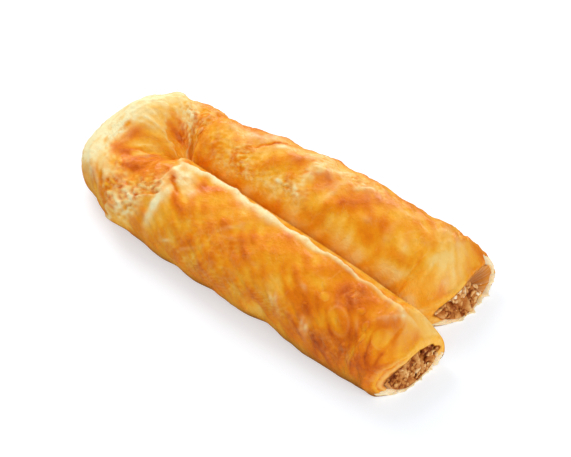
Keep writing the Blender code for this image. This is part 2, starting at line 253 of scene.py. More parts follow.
patches = {  # change in browning
    "steepness": 1.2,
    "near": (
        (42, 89, 0, 11, 7, 0.28), (30, 96, -20, 7, 4.5, 0.18), (53, 52, 30, 9, 6.5, 0.28),
        (25, 36, 0, 9, 7, 0.24), (16, 70, 0, 12, 12, 0.06), (4, 96, 0, 6, 14, -0.14),
        (50, 85, 30, 4.5, 3, -0.2), (46, 73, 40, 3, 2.4, -0.12), (14, 84, -30, 7, 4, 0.12),
        (22, 50, 45, 6, 5, 0.14), (30, 66, 30, 12, 8, 0.08), (135, 104, -30, 5.5, 3.4, 0.36),
        (122, 41, 0, 7, 5, 0.15), (106, 74, 20, 6.5, 4.6, 0.15), (96, 65, 0, 6, 5, 0.15),
        (80, 60, 30, 5, 4, 0.12), (75, 22, 0, 6, 5, 0.12), (87, 57, 0, 5, 4, 0.12),
        (132, 67, 20, 6, 3, 0.16), (77, 38, 30, 5, 4, -0.1), (66, 95, 0, 7, 4, -0.06),
        (112, 96, 0, 12, 5, -0.06), (95, 89, 0, 6, 5, 0.12), (60, 83, 0, 6, 5, 0.14),
        (8, 89, 0, 6, 5, 0.12), (25, 77, 0, 5, 5, 0.14), (75, 55, 0, 6, 6, -0.12),
        (50, 96, 0, 6, 4, -0.12), (30, 8, 0, 22, 8, 0.16), (48, 16, 0, 16, 8, 0.14),
        (2, 38, 0, 9, 13, 0.36), (6, 15, 0, 9, 7, 0.14), (6, 140, 0, 9, 14, -0.2),
        (159, 24, 0, 7, 9, -0.2), (143, 44, 0, 6, 12, -0.2), (156, 12, 0, 6, 6, -0.08),
        (138, 63, 0, 5, 6, -0.12),
    ),
    "fold": (
        (0.4, 88, 30, 4.2, 3.8, 0.32), (0.27, 79, 90, 6, 4.4, 0.42), (0.125, 75, -45, 6.6, 2.5, 0.36),
        (0.07, 50, 0, 3.4, 4.2, 0.3), (0.18, 92, 0, 9, 7, 0.1), (0.05, 88, 0, 7, 6, 0.12),
        (0.32, 95, 60, 7, 2, -0.16), (0.5, 96, 0, 9, 7, -0.12), (0.67, 115, 20, 4.5, 5, 0.3),
        (0.6, 104, 0, 4, 5, 0.18), (0.8, 150, 20, 5, 5, 0.24), (0.9, 95, 0, 6, 5, 0.06),
        (0.36, 64, 0, 7, 4, -0.16), (0.22, 42, 0, 13, 8, -0.08), (0.42, 46, 0, 16, 9, -0.3),
        (0.6, 56, 0, 12, 9, -0.28), (0.74, 64, 0, 8, 8, -0.14), (0.42, 5, 0, 26, 9, -0.16),
        (0.12, 30, 0, 9, 9, 0.05), (0.17, 59, 0, 5, 5, 0.1), (0.06, 64, 0, 5, 5, 0.1),
        (0.18, 22, 0, 6, 7, 0.04), (0.35, 108, 0, 10, 8, -0.1), (0.53, 78, 0, 9, 8, -0.18),
    ),
    "far": (
        (147, 157, 0, 6, 5, 0.2), (86, 92, 0, 4.6, 4.2, 0.24), (73, 99, 30, 5, 3.6, 0.18),
        (65, 88, 0, 7.5, 5.2, 0.24), (74, 140, 0, 8, 5, 0.14), (52, 121, 20, 6, 5, 0.16),
        (37, 119, 30, 6, 5, 0.2), (24, 130, 0, 5, 5.5, 0.2), (0, 62, 0, 6, 12, 0.24),
        (20, 155, 0, 7, 5, 0.18), (24, 93, -20, 6, 3, 0.1), (2, 143, 0, 5, 4, 0.14),
        (113, 99, 0, 4.6, 4, 0.1), (100, 158, 0, 22, 5, -0.02), (128, 132, 30, 8, 6, 0.08),
        (30, 110, 20, 3.5, 2.2, -0.16), (14, 90, 0, 12, 9, -0.25), (5, 100, 0, 9, 12, -0.18),
        (10, 130, 0, 10, 8, -0.06), (16, 142, 0, 6, 5, 0.1), (116, 138, 0, 7, 5, 0.1),
        (30, 146, 0, 7, 5, -0.2), (34, 165, 0, 9, 5, -0.12), (52, 78, 0, 6, 5, 0.16),
        (95, 60, 0, 14, 4, -0.08), (70, 58, 0, 14, 4, -0.06), (48, 15, 0, 9, 6, 0.15),
        (110, 15, 0, 9, 7, 0.14), (20, 10, 0, 6, 6, 0.1),
    ),
}
strokes = {  # lift, how creamy it is: thin ridges are pale, partly as painted highlight, and grooves, with less than 0, are brown as painted shade
    "steepness": 1,
    "near": (
        (145.5, 60, 86, 12, 2, 0.8, 1.1), (139, 76, 40, 8, 1.8, -0.6, -0.5),
        (146.5, 88.5, 18, 6.5, 0.8, -0.8, -0.8), (143, 96, 30, 7.5, 3, 0.6, 0.6),
        (153, 100, 60, 5, 1.8, 0.5, 0.6), (107, 82, -45, 5.5, 0.9, 0.15, 0.22),
        (101, 74, -20, 4, 0.9, 0.15, 0.2), (118, 31, -45, 7, 0.9, 0.2, 0.15),
        (131, 22, -45, 2.6, 0.9, 0.3, 0.45), (68, 34, 50, 5, 1.1, 0.3, 0.4),
        (64, 32, 60, 5.5, 1, 0.3, 0.4), (46, 21, 84, 5, 1.1, 0.4, 0.8), (48.5, 26, 80, 4, 0.9, 0.3, 0.5),
        (12, 96, -32, 8, 1.1, 0.35, 0.28), (84, 60, 10, 3, 0.9, 0.15, 0.2), (58, 70, 30, 3, 1, 0.2, 0.25),
        (41, 78, 45, 4, 0.9, 0.15, 0.15), (26, 66, 45, 4.5, 0.9, 0.15, 0.2),
        (36, 43, 45, 6, 0.8, -0.2, -0.2), (3, 70, 73, 8, 0.7, -0.3, -0.5),
        (7, 52, 60, 7, 0.7, -0.15, -0.25),
    ),
    "fold": (
        (0.73, 92, 80, 6, 1.2, 0.4, 0.35), (0.8, 76, 90, 5, 1.3, 0.4, 0.4),
        (0.68, 84, 80, 4, 1, 0.3, 0.3), (0.33, 95, 60, 6, 1, 0.15, 0.1), (0.42, 68, 10, 6, 1, 0.3, 0.4),
        (0.3, 104, 50, 4, 0.8, -0.2, -0.1), (0.12, 96, -45, 5, 0.9, -0.2, -0.1),
        (0.03, 34, 30, 4, 1.6, 0.5, 0.5), (0.005, 50, 60, 4, 1.4, 0.4, 0.4),
        (0.09, 60, 90, 4, 1.2, 0.5, 0.35), (0.18, 26, 55, 4, 0.7, -0.2, -0.2),
        (0.15, 34, 60, 4, 0.7, -0.25, -0.3), (0.12, 28, 50, 4.5, 0.8, -0.3, -0.35),
        (0.11, 40, 60, 3.5, 0.8, -0.3, -0.35), (0.2, 40, 50, 3.5, 0.7, -0.2, -0.25),
        (0.5, 88, 75, 4.5, 0.8, 0.25, 0.35), (0.46, 84, 75, 4, 0.7, 0.2, 0.35),
        (0.54, 82, 75, 4, 0.7, 0.2, 0.3),
    ),
    "far": (
        (122, 79, -41, 8.5, 0.8, -0.5, -0.7), (117, 82, -41, 5.5, 1.3, 0.3, 0.4),
        (104, 120, 40, 1.8, 1.1, 0.3, 0.8), (105, 133, 0, 3, 2, 0.2, 0.25),
        (93, 119, 45, 3, 0.9, 0.3, 0.6), (91, 124, 45, 3, 0.8, 0.3, 0.5),
        (96.5, 122, 50, 2.6, 0.8, 0.3, 0.5), (93.5, 97, 88, 8, 2.6, 0.6, 0.4),
        (95, 82, 90, 3.5, 2.2, 0.4, 0.5), (78.5, 99, 85, 4, 1.4, 0.3, 0.4),
        (69, 72, -53, 7.5, 1.3, 0.4, 0.5), (55, 102, 0, 3, 1.5, 0.2, 0.1),
        (42, 104, 75, 6, 1.8, 0.35, 0.12), (31, 108, 60, 5.5, 2, 0.3, 0.12),
        (125, 132, 66, 5.5, 0.9, -0.3, -0.4), (122, 128, 66, 5, 1, 0.2, 0.25),
        (133, 140, 30, 4, 1, 0.3, 0.35), (136, 117, 30, 3, 1, 0.3, 0.3), (84, 66, -45, 6, 1.3, 0.3, 0.3),
        (100, 60, -30, 7, 1.3, 0.3, 0.3),
    ),
}
crumples = {  # zones of close pleats: lean of the pleats' direction, half sizes, pitch, depth
    "steepness": 1.5,
    "wander": 1.3,
    "rise": 1.6,  # of a pleat's ridge, in its depths
    "sink": 0.5,
    "near": (
        (154, 72, 45, 9, 3, 2.3, 0.5), (70, 22, 50, 10, 5, 3.2, 0.25), (104, 10, 50, 14, 5, 3.4, 0.25),
    ),
    "fold": (
        (0.11, 32, -45, 7, 8, 2.4, 0.38), (0.2, 20, -45, 6, 7, 2.9, 0.35), (0.75, 90, 15, 5, 7, 2.8, 0.3),
        (0.53, 87, 0, 4.5, 5, 2.8, 0.15), (0.36, 66, 50, 6, 4, 2.2, 0.35),
        (0.45, 15, 10, 20, 8, 4.6, 0.25), (0.9, 20, 10, 10, 8, 4.6, 0.25),
    ),
    "far": (
        (140, 138, 30, 7, 6, 3.4, 0.15), (97, 124, 40, 7, 4, 2, 0.35), (130, 100, 40, 6, 6, 2.6, 0.3),
    ),
}
laps = {  # torn edges where one layer lies over the next: part, rise, how far it sinks back, edge by angle
    "step": 2,
    "ragged": 0.9,
    "fullRise": 1.5,  # a layer that rises less has fainter marks beside its edge
    "marks": ((0.45, 1.3, 1.6), (-0.35, -1.3, 1.1)),  # cream behind the edge, partly painted highlight, and brown before it, partly painted shade below the step
    "edges": (
        (
            "near", 1.5, 20,
            ((-60, 172), (7, 167), (20, 165), (47, 160), (58, 153.5), (70, 150), (96, 154), (130, 160)),
        ),
        ("fold", 1.2, 14, ((-60, 0.76), (67, 0.745), (92, 0.79), (116, 0.78), (150, 0.7), (200, 0.66))),
        ("fold", 0.8, 12, ((-60, 0.66), (88, 0.63), (108, 0.515), (141, 0.46), (200, 0.42))),
        ("fold", 0.6, 10, ((-60, 0.93), (70, 0.92), (95, 0.9), (118, 0.88), (160, 0.84))),
    ),
}
paleAndHighlightZones = {  # soft creamy areas, partly pale dough and partly painted highlight and sheen, as on the fold's outside and the far arm's outer top: amount
    "steepness": 1,
    "near": (
        (147, 99, 20, 7, 3.6, 0.36), (152, 88, 0, 4, 5, 0.12), (9, 96, 0, 8, 4, 0.12),
        (5, 128, 0, 7, 12, 0.16), (158, 36, 0, 5, 8, 0.44), (144, 76, 0, 4, 6, 0.25),
        (156, 59, 0, 5, 6, 0.15),
    ),
    "fold": (
        (0.38, 37, 0, 15, 10, 1.2), (0.46, 56, 0, 12, 7, 0.9), (0.12, 50, 0, 8, 8, 0.15),
        (0.53, 77, 0, 9, 8, 0.2), (0.36, 66, 0, 6, 4, 0.45), (0.64, 52, 0, 10, 7, 0.6),
        (0.74, 92, 0, 4, 6, 0.35), (0.24, 94, 0, 2.4, 2.4, 0.4),
    ),
    "far": (
        (98, 55, 0, 22, 4, 0.15), (128, 60, 0, 8, 5, 0.15), (3, 102, 0, 4, 8, 0.2), (6, 68, 0, 6, 6, 0.2),
        (20, 68, 0, 8, 6, 0.2), (84, 83, 0, 5, 5, 0.2), (92, 123, 0, 5, 4, 0.2), (134, 76, 0, 14, 5, 0.35),
        (104, 74, 0, 18, 4, 0.2), (66, 76, 0, 20, 4, 0.16),
    ),
}
flecks = {  # zones of small pale crumbs and flakes: strength
    "steepness": 1,
    "near": (
        (158, 50, 0, 5, 14, 1), (152, 74, 0, 4, 5, 0.6), (165, 15, 0, 5, 9, 0.35), (60, 25, 0, 26, 6, 0.3),
        (112, 18, 0, 26, 7, 0.3), (22, 18, 0, 16, 6, 0.3), (110, 60, 0, 26, 9, 0.25),
        (38, 91, 0, 5, 4, 0.35),
    ),
    "fold": (
        (0.05, 45, 0, 6, 9, 0.7), (0.31, 98, 0, 8, 4, 0.3), (0.03, 45, 0, 7, 7, 1),
        (0.17, 66, 0, 6, 4, 0.5), (0.36, 66, 0, 8, 4, 0.8), (0.76, 85, 0, 6, 9, 0.75),
        (0.87, 92, 0, 7, 9, 0.65), (0.62, 125, 0, 8, 5, 0.4), (0.72, 112, 0, 6, 6, 0.5),
    ),
    "far": (
        (104, 118, 0, 8, 5, 0.5), (146, 108, 0, 7, 10, 0.5), (126, 118, 0, 10, 9, 0.45),
        (108, 140, 0, 16, 7, 0.4), (94, 122, 0, 7, 5, 0.6), (130, 105, 0, 7, 7, 0.6),
        (136, 140, 0, 7, 6, 0.5), (122, 135, 0, 7, 5, 0.5), (96, 88, 0, 4, 7, 0.6),
        (92, 70, 0, 18, 3.5, 0.4), (74, 66, 0, 9, 4, 0.4), (60, 60, 0, 14, 4, 0.2),
        (86, 100, 0, 5, 4, 0.3),
    ),
}
crest = {  # the sheet's own edge along the top of the long arm, by place
    "line": (
        (0, 108), (9, 108), (20, 111), (35, 112), (50, 113), (64, 116), (76, 118), (96, 118), (109, 120),
        (118, 123), (128, 128), (138, 128), (146, 117), (158, 109),
    ),
    "halfWidth": (
        (0, 2.4), (24, 2.2), (34, 1.7), (50, 1.5), (64, 1.7), (74, 3.2), (88, 2.6), (98, 4.4), (110, 5),
        (125, 3.8), (140, 3), (158, 2.8),
    ),
    "sharpness": 1.9,
    "power": 2.6,
    "wander": 0.3,
    "fade": 10,
    "lift": 0.8,
    "drop": 3.6,  # how much lower the skin lies behind it
    "dropAngles": (3, 16),  # it begins this far behind the crest, and takes so much more
    "dropPlaces": (8, 34),
    # painted highlight along the ridge, over the sheet's pale edge, by place
    "cream": ((0, 0), (5, 0.15), (16, 0.5), (30, 0.5), (60, 0.85), (80, 0.98), (142, 1), (158, 0.7)),
}
foot = {  # how far the outer foot of the long arm swells out or is drawn in, by place
    "line": (
        (0, -1.4), (14, -0.8), (28, 1.3), (46, 1.2), (57, -0.4), (70, -2.8), (83, -0.8), (102, -2.7),
        (115, -0.9), (125, -2.1), (137, -0.5), (152, -1.8), (165, -3.2), (180, 0),
    ),
    "angle": -32,
    "spread": 30,
}
creases = {  # grooves that run out from the pinch: degrees round the fold, depth, half width, reach
    "start": 7,
    "fade": 0.3,
    "rows": (
        (12, 1.8, 3.6, 1), (40, 0.6, 3.4, 0.8), (66, 0.5, 3.2, 0.75), (104, 1, 3, 0.7),
        (124, 0.7, 2.8, 0.8), (146, 1.3, 3.2, 0.9), (172, 1.6, 3.4, 0.8),
    ),
}
skin = {
    "steps": (0.45, 0.58, 0.95, 0.55, 0.9, 0.45),  # between the rings of points, from the near end on
    "endLength": 14,
    "nearLength": 62,
    "foldMargin": 12,
    "pointsRound": 150,
    "underside": 0.4,  # density of points there and at the seam
    "undersideSines": (-0.6, 0.35),  # it grows from this sine of the angle on, over so much more
    "seamSide": 0.6,
    "seamAngles": (168, 250, 12),  # from, to, and over how many degrees it changes
    "streakStretch": 0.35,  # wrinkles and colour run slantwise over the roll, drawn out by this much
    "streakDepth": 0.3,
    "broadHeight": 0.4,
    "wrinkleHeight": 0.21,
    "fineHeight": 0.12,
    "crumbHeight": 0.16,
    "veinHeight": 0.06,
    "veinWidth": 0.13,
    "veinShare": 0.3,
    "reliefStart": 0.12,
    "reliefFull": 0.42,
    "reliefFromSeam": 8,
}
textures = {  # length and seed of the waves that each of them is made of
    "broad": (24, 11), "laps": (6, 21), "crest": (13, 22), "pleats": (12, 23), "wrinkles": (8, 24),
    "veins": (15, 25), "veinZones": (30, 26), "crumbs": (2.8, 27), "fine": (3.4, 28), "cream": (5, 29),
    "brown": (22, 31),
}
creaminess = {  # how much each kind of relief adds to the pale cream, or takes from it: raised pleats are paler as painted highlight, and hollows and grooves less pale as painted shade
    "pleats": 0.4,
    "veins": 0.06,
    "crumbs": 0.1,
    "lostToPatches": 2.4,
    "leastOnPatches": 0.1,
    "uneven": 0.3,
    "hollowShade": 0.5,
    "pleatHollowShade": 2,
    "wrinkleHollowShade": 0.4,
    "grooveShade": 1.5,
}
browning = {  # the same for the browning: pleats, grooves and crumb hollows are browner as painted shade
    "all": 0.42,
    "broad": 0.05,
    "wrinkles": 0.065,
    "laps": 0.3,
    "grooveShade": 0.5,
    "pleats": 0.5,
    "crumbs": 0.16,
    "crumbHollowShade": 0.1,
    "seamPaintedLight": (0.2, 115, 35),  # painted light, paler where the lamps leave the seam side in shade: by angle: how much, from where, over how much
    "farPaintedLight": (0.06, 20, 20),  # painted light, paler where less light reaches: by place behind the fold
    "flankShade": (0.88, 0.5, -0.4),  # painted shade on the lower sides: by share of the height, downwards
    # more painted shade at the very foot, outside the fold
    "footShade": (0.8, 0.5, -0.25),
}


def texture(key, points):  # one of the skin's wave textures at the points
    return waves(points, *textures[key])


def onRoll(part, place):  # from the long end, from a share of the fold, or from the short end
    return {"near": place, "fold": longArm + place * foldLength, "far": rollEnd - place}[part]


def markCoordinates(place, angle, centre, degrees, lean):  # along and across a mark, turned by its lean
    lean = math.radians(lean)
    ahead = place - centre
    aside = np.radians(angle - degrees) * roll["width"] / 2
    return ahead * math.cos(lean) + aside * math.sin(lean), aside * math.cos(lean) - ahead * math.sin(lean)


def markStrength(place, angle, row, steepness):  # exp(-r^steepness), r the squared distance in its sizes
    centre, degrees, lean, halfLength, halfBreadth = row[:5]
    ahead, aside = markCoordinates(place, angle, centre, degrees, lean)
    radius = (ahead / halfLength) ** 2 + (aside / halfBreadth) ** 2
    return np.exp(-(radius**steepness)), radius


def rowsOf(marks):  # the marks' rows with their places on the whole roll
    parts = ("near", "fold", "far")
    return ((onRoll(part, place), *rest) for part in parts for place, *rest in marks[part])


def markField(marks, place, angle, column=5):  # sum of what each mark does times its strength
    steepness = marks["steepness"]
    return sum(row[column] * markStrength(place, angle, row, steepness)[0] for row in rowsOf(marks))


def blisterField(place, angle):  # domes with a paler middle, a thin pale rim and a browner ring round it
    lift, brown, rim = (np.zeros_like(place + angle) for _ in range(3))
    for row in rowsOf(blisters):
        strength, radius = markStrength(place, angle, row, blisters["steepness"])
        ringed = row[6] < blisters["ringedBelow"]
        lift += row[5] * strength
        brown += row[6] * strength + blisters["ring"] * bell(radius, *blisters["ringAt"]) * ringed
        rim += blisters["rim"] * bell(radius, *blisters["rimAt"]) * ringed
    return lift, brown, rim


def crumpleField(place, angle, wobble):  # sharp pleats, depth * (1 - |sin|), inside soft zones
    lift = np.zeros_like(place + angle)
    for centre, degrees, lean, halfLength, halfBreadth, pitch, depth in rowsOf(crumples):
        zone = (centre, degrees, 0, halfLength, halfBreadth)
        zone = markStrength(place, angle, zone, crumples["steepness"])[0]
        ahead = markCoordinates(place, angle, centre, degrees, lean)[0]
        pleat = np.sin(2 * math.pi * ahead / pitch + crumples["wander"] * wobble)
        lift += depth * zone * (1 - np.abs(pleat)) * crumples["rise"] - crumples["sink"] * depth * zone
    return lift


def lapField(place, angle, wobble):  # each layer steps up at its ragged edge and sinks back evenly behind
    lift, cream = np.zeros_like(place + angle), np.zeros_like(place + angle)
    for part, height, length, edge in laps["edges"]:
        edge = [(degrees, onRoll(part, at)) for degrees, at in edge]
        behind = readTable(edge, angle) + laps["ragged"] * wobble - place
        lift += height * np.clip(1 - behind / length, 0, 1) * ease(behind / laps["step"] + 0.5)
        for amount, at, width in laps["marks"]:
            cream += amount * min(height / laps["fullRise"], 1) * bell(behind, at, width)
    return lift, cream


def crestField(place, angle, wobble):  # a ridge that falls off sharply towards the seam and gently outwards
    line, halfWidth = readTable(crest["line"], place), readTable(crest["halfWidth"], place)
    aside = (np.radians(angle - line) * roll["width"] / 2 + crest["wander"] * wobble) / halfWidth
    aside = np.where(aside > 0, crest["sharpness"] * aside, aside)
    fade = ease((crest["line"][-1][0] - place) / crest["fade"])
    behind = ramp(angle - line, *crest["dropAngles"]) * fade * ramp(place, *crest["dropPlaces"])
    return np.exp(-(np.abs(aside) ** crest["power"])) * fade, behind


def creaseField(points):  # grooves with a bell-shaped section, eased in at the pinch and out at their reach
    x, y = points[..., 0] - pinchX, points[..., 1] - roll["seamY"]
    depth = np.zeros_like(x)
    for degrees, deepest, halfWidth, reach in creases["rows"]:
        heading = math.radians(degrees)
        run = -x * math.sin(heading) - y * math.cos(heading)
        aside = x * math.cos(heading) - y * math.sin(heading)
        end = (reach * roll["width"] - run) / (creases["fade"] * roll["width"])
        depth += deepest * ease(run / creases["start"]) * ease(end) * bell(aside, 0, halfWidth)
    return depth


def crustSection(place, angle):  # a superellipse, fuller at the seam, flat below and lower at the pinch
    width, height = rollSize(place)
    cosine, sine = np.cos(np.radians(angle)), np.sin(np.radians(angle))
    fullness = np.where(cosine > 0, roll["topFullness"], roll["seamFullness"])
    endFullness = ofArm(place, roll["endFullness"])
    power = 2 / (fullness + (endFullness - fullness) * (1 - ease(fromEnd(place) / mouth["endLength"])))
    across = width * (1 + np.sign(cosine) * np.abs(cosine) ** power) / 2
    upShare = (1 + np.sign(sine) * np.abs(sine) ** power) / 2
    up = height * positive(upShare - roll["footShare"]) / (1 - roll["footShare"])
    up *= 1 - roll["funnel"] * foldShare(place) * (1 - across / width) ** 2
    normal = np.stack([(across - width / 2) / width**2, (up - height / 2) / height**2], -1)
    return height, across, up, normal / np.linalg.norm(normal, axis=-1, keepdims=True)


def crustSkin(place, angle):  # the section with all its relief along its normal, and its colour masks
    height, across, up, normal = crustSection(place, angle)
    upper = ramp(up / height, skin["reliefStart"], skin["reliefFull"] - skin["reliefStart"])
    outer = ease(across / skin["reliefFromSeam"])
    straight = np.stack([place + 0 * across, across, up], -1)
    slope = up - across  # grows from the bottom of the outer side over the top
    streak = [skin["streakStretch"] * (place + slope), place - slope, skin["streakDepth"] * (up + across)]
    streak = np.stack(streak, -1)
    signed = signedAngle(angle)

    blisterLift, blisterBrown, blisterRim = blisterField(place, signed)
    fleck = np.minimum(markField(flecks, place, signed), 1)
    strokeLift, strokeCream = (markField(strokes, place, signed, column) for column in (5, 6))
    lapLift, lapCream = lapField(place, signed, texture("laps", straight))
    crestShare, crestBehind = crestField(place, signed, texture("crest", straight))
    pleats = crumpleField(place, signed, texture("pleats", straight))
    wrinkles, crumbs = texture("wrinkles", streak), texture("crumbs", straight)
    veins = bell(texture("veins", straight), 0, skin["veinWidth"])
    veins *= ease(texture("veinZones", straight) + skin["veinShare"])
    swell = readTable(foot["line"], place) * bell(signed, foot["angle"], foot["spread"])

    relief = skin["broadHeight"] * texture("broad", straight)
    crestLift = crest["lift"] * crestShare - crest["drop"] * crestBehind
    relief += blisterLift + strokeLift + lapLift + pleats + crestLift
    relief += skin["wrinkleHeight"] * wrinkles + skin["veinHeight"] * veins
    relief += skin["fineHeight"] * texture("fine", streak)
    relief += skin["crumbHeight"] * fleck * crumbs
    relief = relief * upper * outer - creaseField(placed(place, across, up)) * upper
    across = across + relief * normal[..., 0] + swell
    up = positive(up + relief * normal[..., 1])

    patch, lump, pleat = markField(patches, place, signed), positive(crumbs), positive(pleats)
    cream = positive(lapCream) + positive(strokeCream)
    fromVeins, fromCrumbs = creaminess["veins"] * veins, creaminess["crumbs"] * fleck * lump
    cream += creaminess["pleats"] * pleat + fromVeins + fromCrumbs
    offPatches = np.clip(1 - creaminess["lostToPatches"] * patch, creaminess["leastOnPatches"], 1)
    cream = (cream + markField(paleAndHighlightZones, place, signed)) * offPatches + blisterRim
    shadeInHollows = positive(-fleck * crumbs) + creaminess["pleatHollowShade"] * positive(-pleats)
    shadeInHollows = shadeInHollows + creaminess["wrinkleHollowShade"] * positive(-wrinkles)
    cream = cream * (1 + creaminess["uneven"] * texture("cream", straight))
    cream = cream * np.clip(1 - creaminess["hollowShade"] * shadeInHollows, 0, 1)
    cream += creaminess["grooveShade"] * np.minimum(strokeCream, 0)
    # painted highlight along the crest
    cream += readTable(crest["cream"], place) * crestShare

    brown = patch + blisterBrown - rise(signed, *browning["seamPaintedLight"])
    brown = brown + browning["broad"] * texture("brown", straight) + browning["wrinkles"] * wrinkles
    brown += browning["laps"] * positive(-lapCream) + browning["grooveShade"] * positive(-strokeCream)
    brown += browning["pleats"] * positive(-pleats)
    brown += browning["crumbHollowShade"] * fleck * np.clip(-crumbs, 0, 1) - browning["crumbs"] * fleck * lump
    brown -= rise(place - foldEnd, *browning["farPaintedLight"])

    lowerShade = rise(up / height, *browning["flankShade"])  # painted shade: the lower sides are darker and duller
    lowerShade = lowerShade * (1 + rise(up / height, *browning["footShade"]) * (1 - foldShare(place)))
    masks = {"cream": positive(cream) * upper, "brown": browning["all"] + brown, "shade": lowerShade}
    masks["fleck"] = fleck * upper
    masks = {key: np.broadcast_to(mask, across.shape) for key, mask in masks.items()}
    masks["streak"] = streak * mm
    return placed(place, across, up), masks


def borePoints(place, angle, inset):  # an ellipse inside the walls, which are thick at the pinch
    width, height = rollSize(place)
    folded, inward = foldShare(place), ease(fromEnd(place) / mouth["lipLength"])
    atSeam = blend((ofArm(place, mouth["seamWalls"]), mouth["sideWall"]), inward)
    atSeam = atSeam + (mouth["pinchWall"] - mouth["sideWall"]) * folded + inset
    outside = blend((ofArm(place, mouth["outerWalls"]), mouth["sideWall"]), inward) + inset
    roof = blend((ofArm(place, mouth["lipTopWalls"]), mouth["topWall"]), inward) + inset
    roof = roof + (mouth["foldTopWall"] - mouth["topWall"]) * folded
    floor = blend((mouth["lipBottomWall"], mouth["bottomWall"]), inward) + inset
    across = atSeam + (width - atSeam - outside) / 2 * (1 + np.cos(np.radians(angle)))
    up = floor + (height - roof - floor) / 2 * (1 + np.sin(np.radians(angle)))
    return placed(place, across, up)


def roundAngles(count):  # degrees, closer together on the outer side and the top than below or at the seam
    angle = np.linspace(-90, 270, 721)
    density = blend((skin["underside"], 1), ramp(np.sin(np.radians(angle)), *skin["undersideSines"]))
    density *= blend((1, skin["seamSide"]), window(angle, *skin["seamAngles"]))
    total = np.concatenate([[0], np.cumsum((density[1:] + density[:-1]) / 2)])
    return np.interp(np.arange(count) * total[-1] / count, total, angle) % 360


def ringPlaces():  # places of the skin's rings, stretch by stretch
    end, margin = skin["endLength"], skin["foldMargin"]
    stops = (0, end, skin["nearLength"], longArm - margin, foldEnd + margin, rollEnd - end, rollEnd)
    places = [
        np.linspace(start, stop, round((stop - start) / step), endpoint=False)
        for start, stop, step in zip(stops, stops[1:], skin["steps"])
    ]
    return np.concatenate([*places, [rollEnd]])


def gridFaces(rings, around, closeRings=False, closeRound=True):  # quads between neighbouring rings
    first = np.arange(rings if closeRings else rings - 1)[:, None]
    second = (first + 1) % rings
    point = np.arange(around if closeRound else around - 1)[None, :]
    nextPoint = (point + 1) % around
    first, second = first * around, second * around
    corners = [first + point, first + nextPoint, second + nextPoint, second + point]
    return np.stack(corners, -1).reshape(-1, 4)


def addObject(name, data):  # in the scene, at the origin
    made = bpy.data.objects.new(name, data)
    bpy.context.scene.collection.objects.link(made)
    return made


def addPiece(name, points, faces, masks, finish, replaced=()):  # a mesh with its masks as attributes
    mesh = bpy.data.meshes.new(name)
    mesh.from_pydata(points.reshape(-1, 3) * mm, [], faces if isinstance(faces, list) else faces.tolist())
    for key, values in masks.items():
        kind, field = ("FLOAT_VECTOR", "vector") if key == "streak" else ("FLOAT", "value")
        made = mesh.attributes.new(key, kind, "POINT")
        made.data.foreach_set(field, np.ascontiguousarray(values, np.float32).ravel())
    mesh.shade_smooth()
    mesh.materials.append(finish)
    piece = addObject(name, mesh)
    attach(piece, "root")
    if replaced:
        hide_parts(*replaced)
    print(name, len(mesh.polygons), "faces")
    return piece


def lipShare(angles, end):  # 1 where the cut edge is a thin pale lip
    start, stop = mouth["longLip"] if end == "near" else mouth["shortLip"]
    turned = (angles - 90) % 360 + 90
    return window(turned, start, stop, mouth["lipFade"])


band = {  # the wall's cut edge
    "rings": 9,
    "thick": (2.5, 3),  # layers show where the wall is thicker than this, fully from so much more
    "layers": 2.6,  # of pastry that show in it
    "phase": 1.4,
    "relief": 0.3,
    "topAngles": (62, 40),  # the layers fade out over the top from this angle, over so many degrees
    "topPaler": (0.2, 55, 40),  # by how much, from which angle, over how many degrees
    "wobbles": ((0.5, 9, 41), (0.4, 3.5, 43)),  # height, length, seed
    "nearBrown": (0.6, 0.24),  # at the outer edge, less further in
    "farBrown": (0.34, 0.12, 0.2),  # at the outer edge, more further in as juice stain and painted shade, less where the wall is thick
    "lipBrown": 0.3,
    "lipCream": 0.3,
    "seamBrown": 0.14,  # between the layers
    "layerBrown": 0.04,
    "innerCream": 0.12,
    "layerCream": 0.08,
    "unevenBrown": 0.06,
    "unevenCream": 0.08,
    "fleck": 0.4,
    "fromSkin": 0.5,  # share of its width over which the skin's colours turn into its own
}


def bandRings(outer, inner, angles, end):  # a sine bulge from edge to edge, with layers as low steps
    share = bandShares()
    points = outer + share[..., None] * (inner - outer)
    thickness = np.linalg.norm(inner - outer, axis=-1)[None, :]
    lip, signed, near = lipShare(angles, end), signedAngle(angles), end == "near"
    thick = ramp(thickness, *band["thick"]) * (1 - lip)
    layered = thick * (1 - ramp(signed, *band["topAngles"])) * near
    wobble = ripple(points, *band["wobbles"])
    layers = np.sin(2 * math.pi * band["layers"] * share + band["phase"] + wobble) * ease(share / 0.3)
    bulge = roll["lipBulge"] * np.sin(math.pi * share)
    points[..., 0] += bulge * (1 + thick) + band["relief"] * layers * layered
    if near:
        start, inwards = band["nearBrown"]
        brown = start - inwards * ease(share / 0.5) - rise(signed, *band["topPaler"])
        brown = brown + layered * (band["seamBrown"] * positive(-layers) - band["layerBrown"] * layers)
    else:
        start, inwards, whereThick = band["farBrown"]
        brown = start + inwards * share - whereThick * thick * (angles > 90) * (angles < 270)
    brown = (brown + band["unevenBrown"] * wobble) * (1 - lip) + band["lipBrown"] * lip
    cream = band["innerCream"] * ease(2 * share - 0.6) + band["layerCream"] * layers
    cream = lip * band["lipCream"] + (1 - lip) * (band["unevenCream"] * wobble + cream * layered) * near
    blank = 0 * brown
    return points, {"brown": brown, "cream": cream + blank, "shade": blank, "fleck": band["fleck"] + blank}


def bandShares():  # where the band's rings lie between its two edges
    return np.linspace(0, 1, band["rings"] + 2)[1:-1, None]


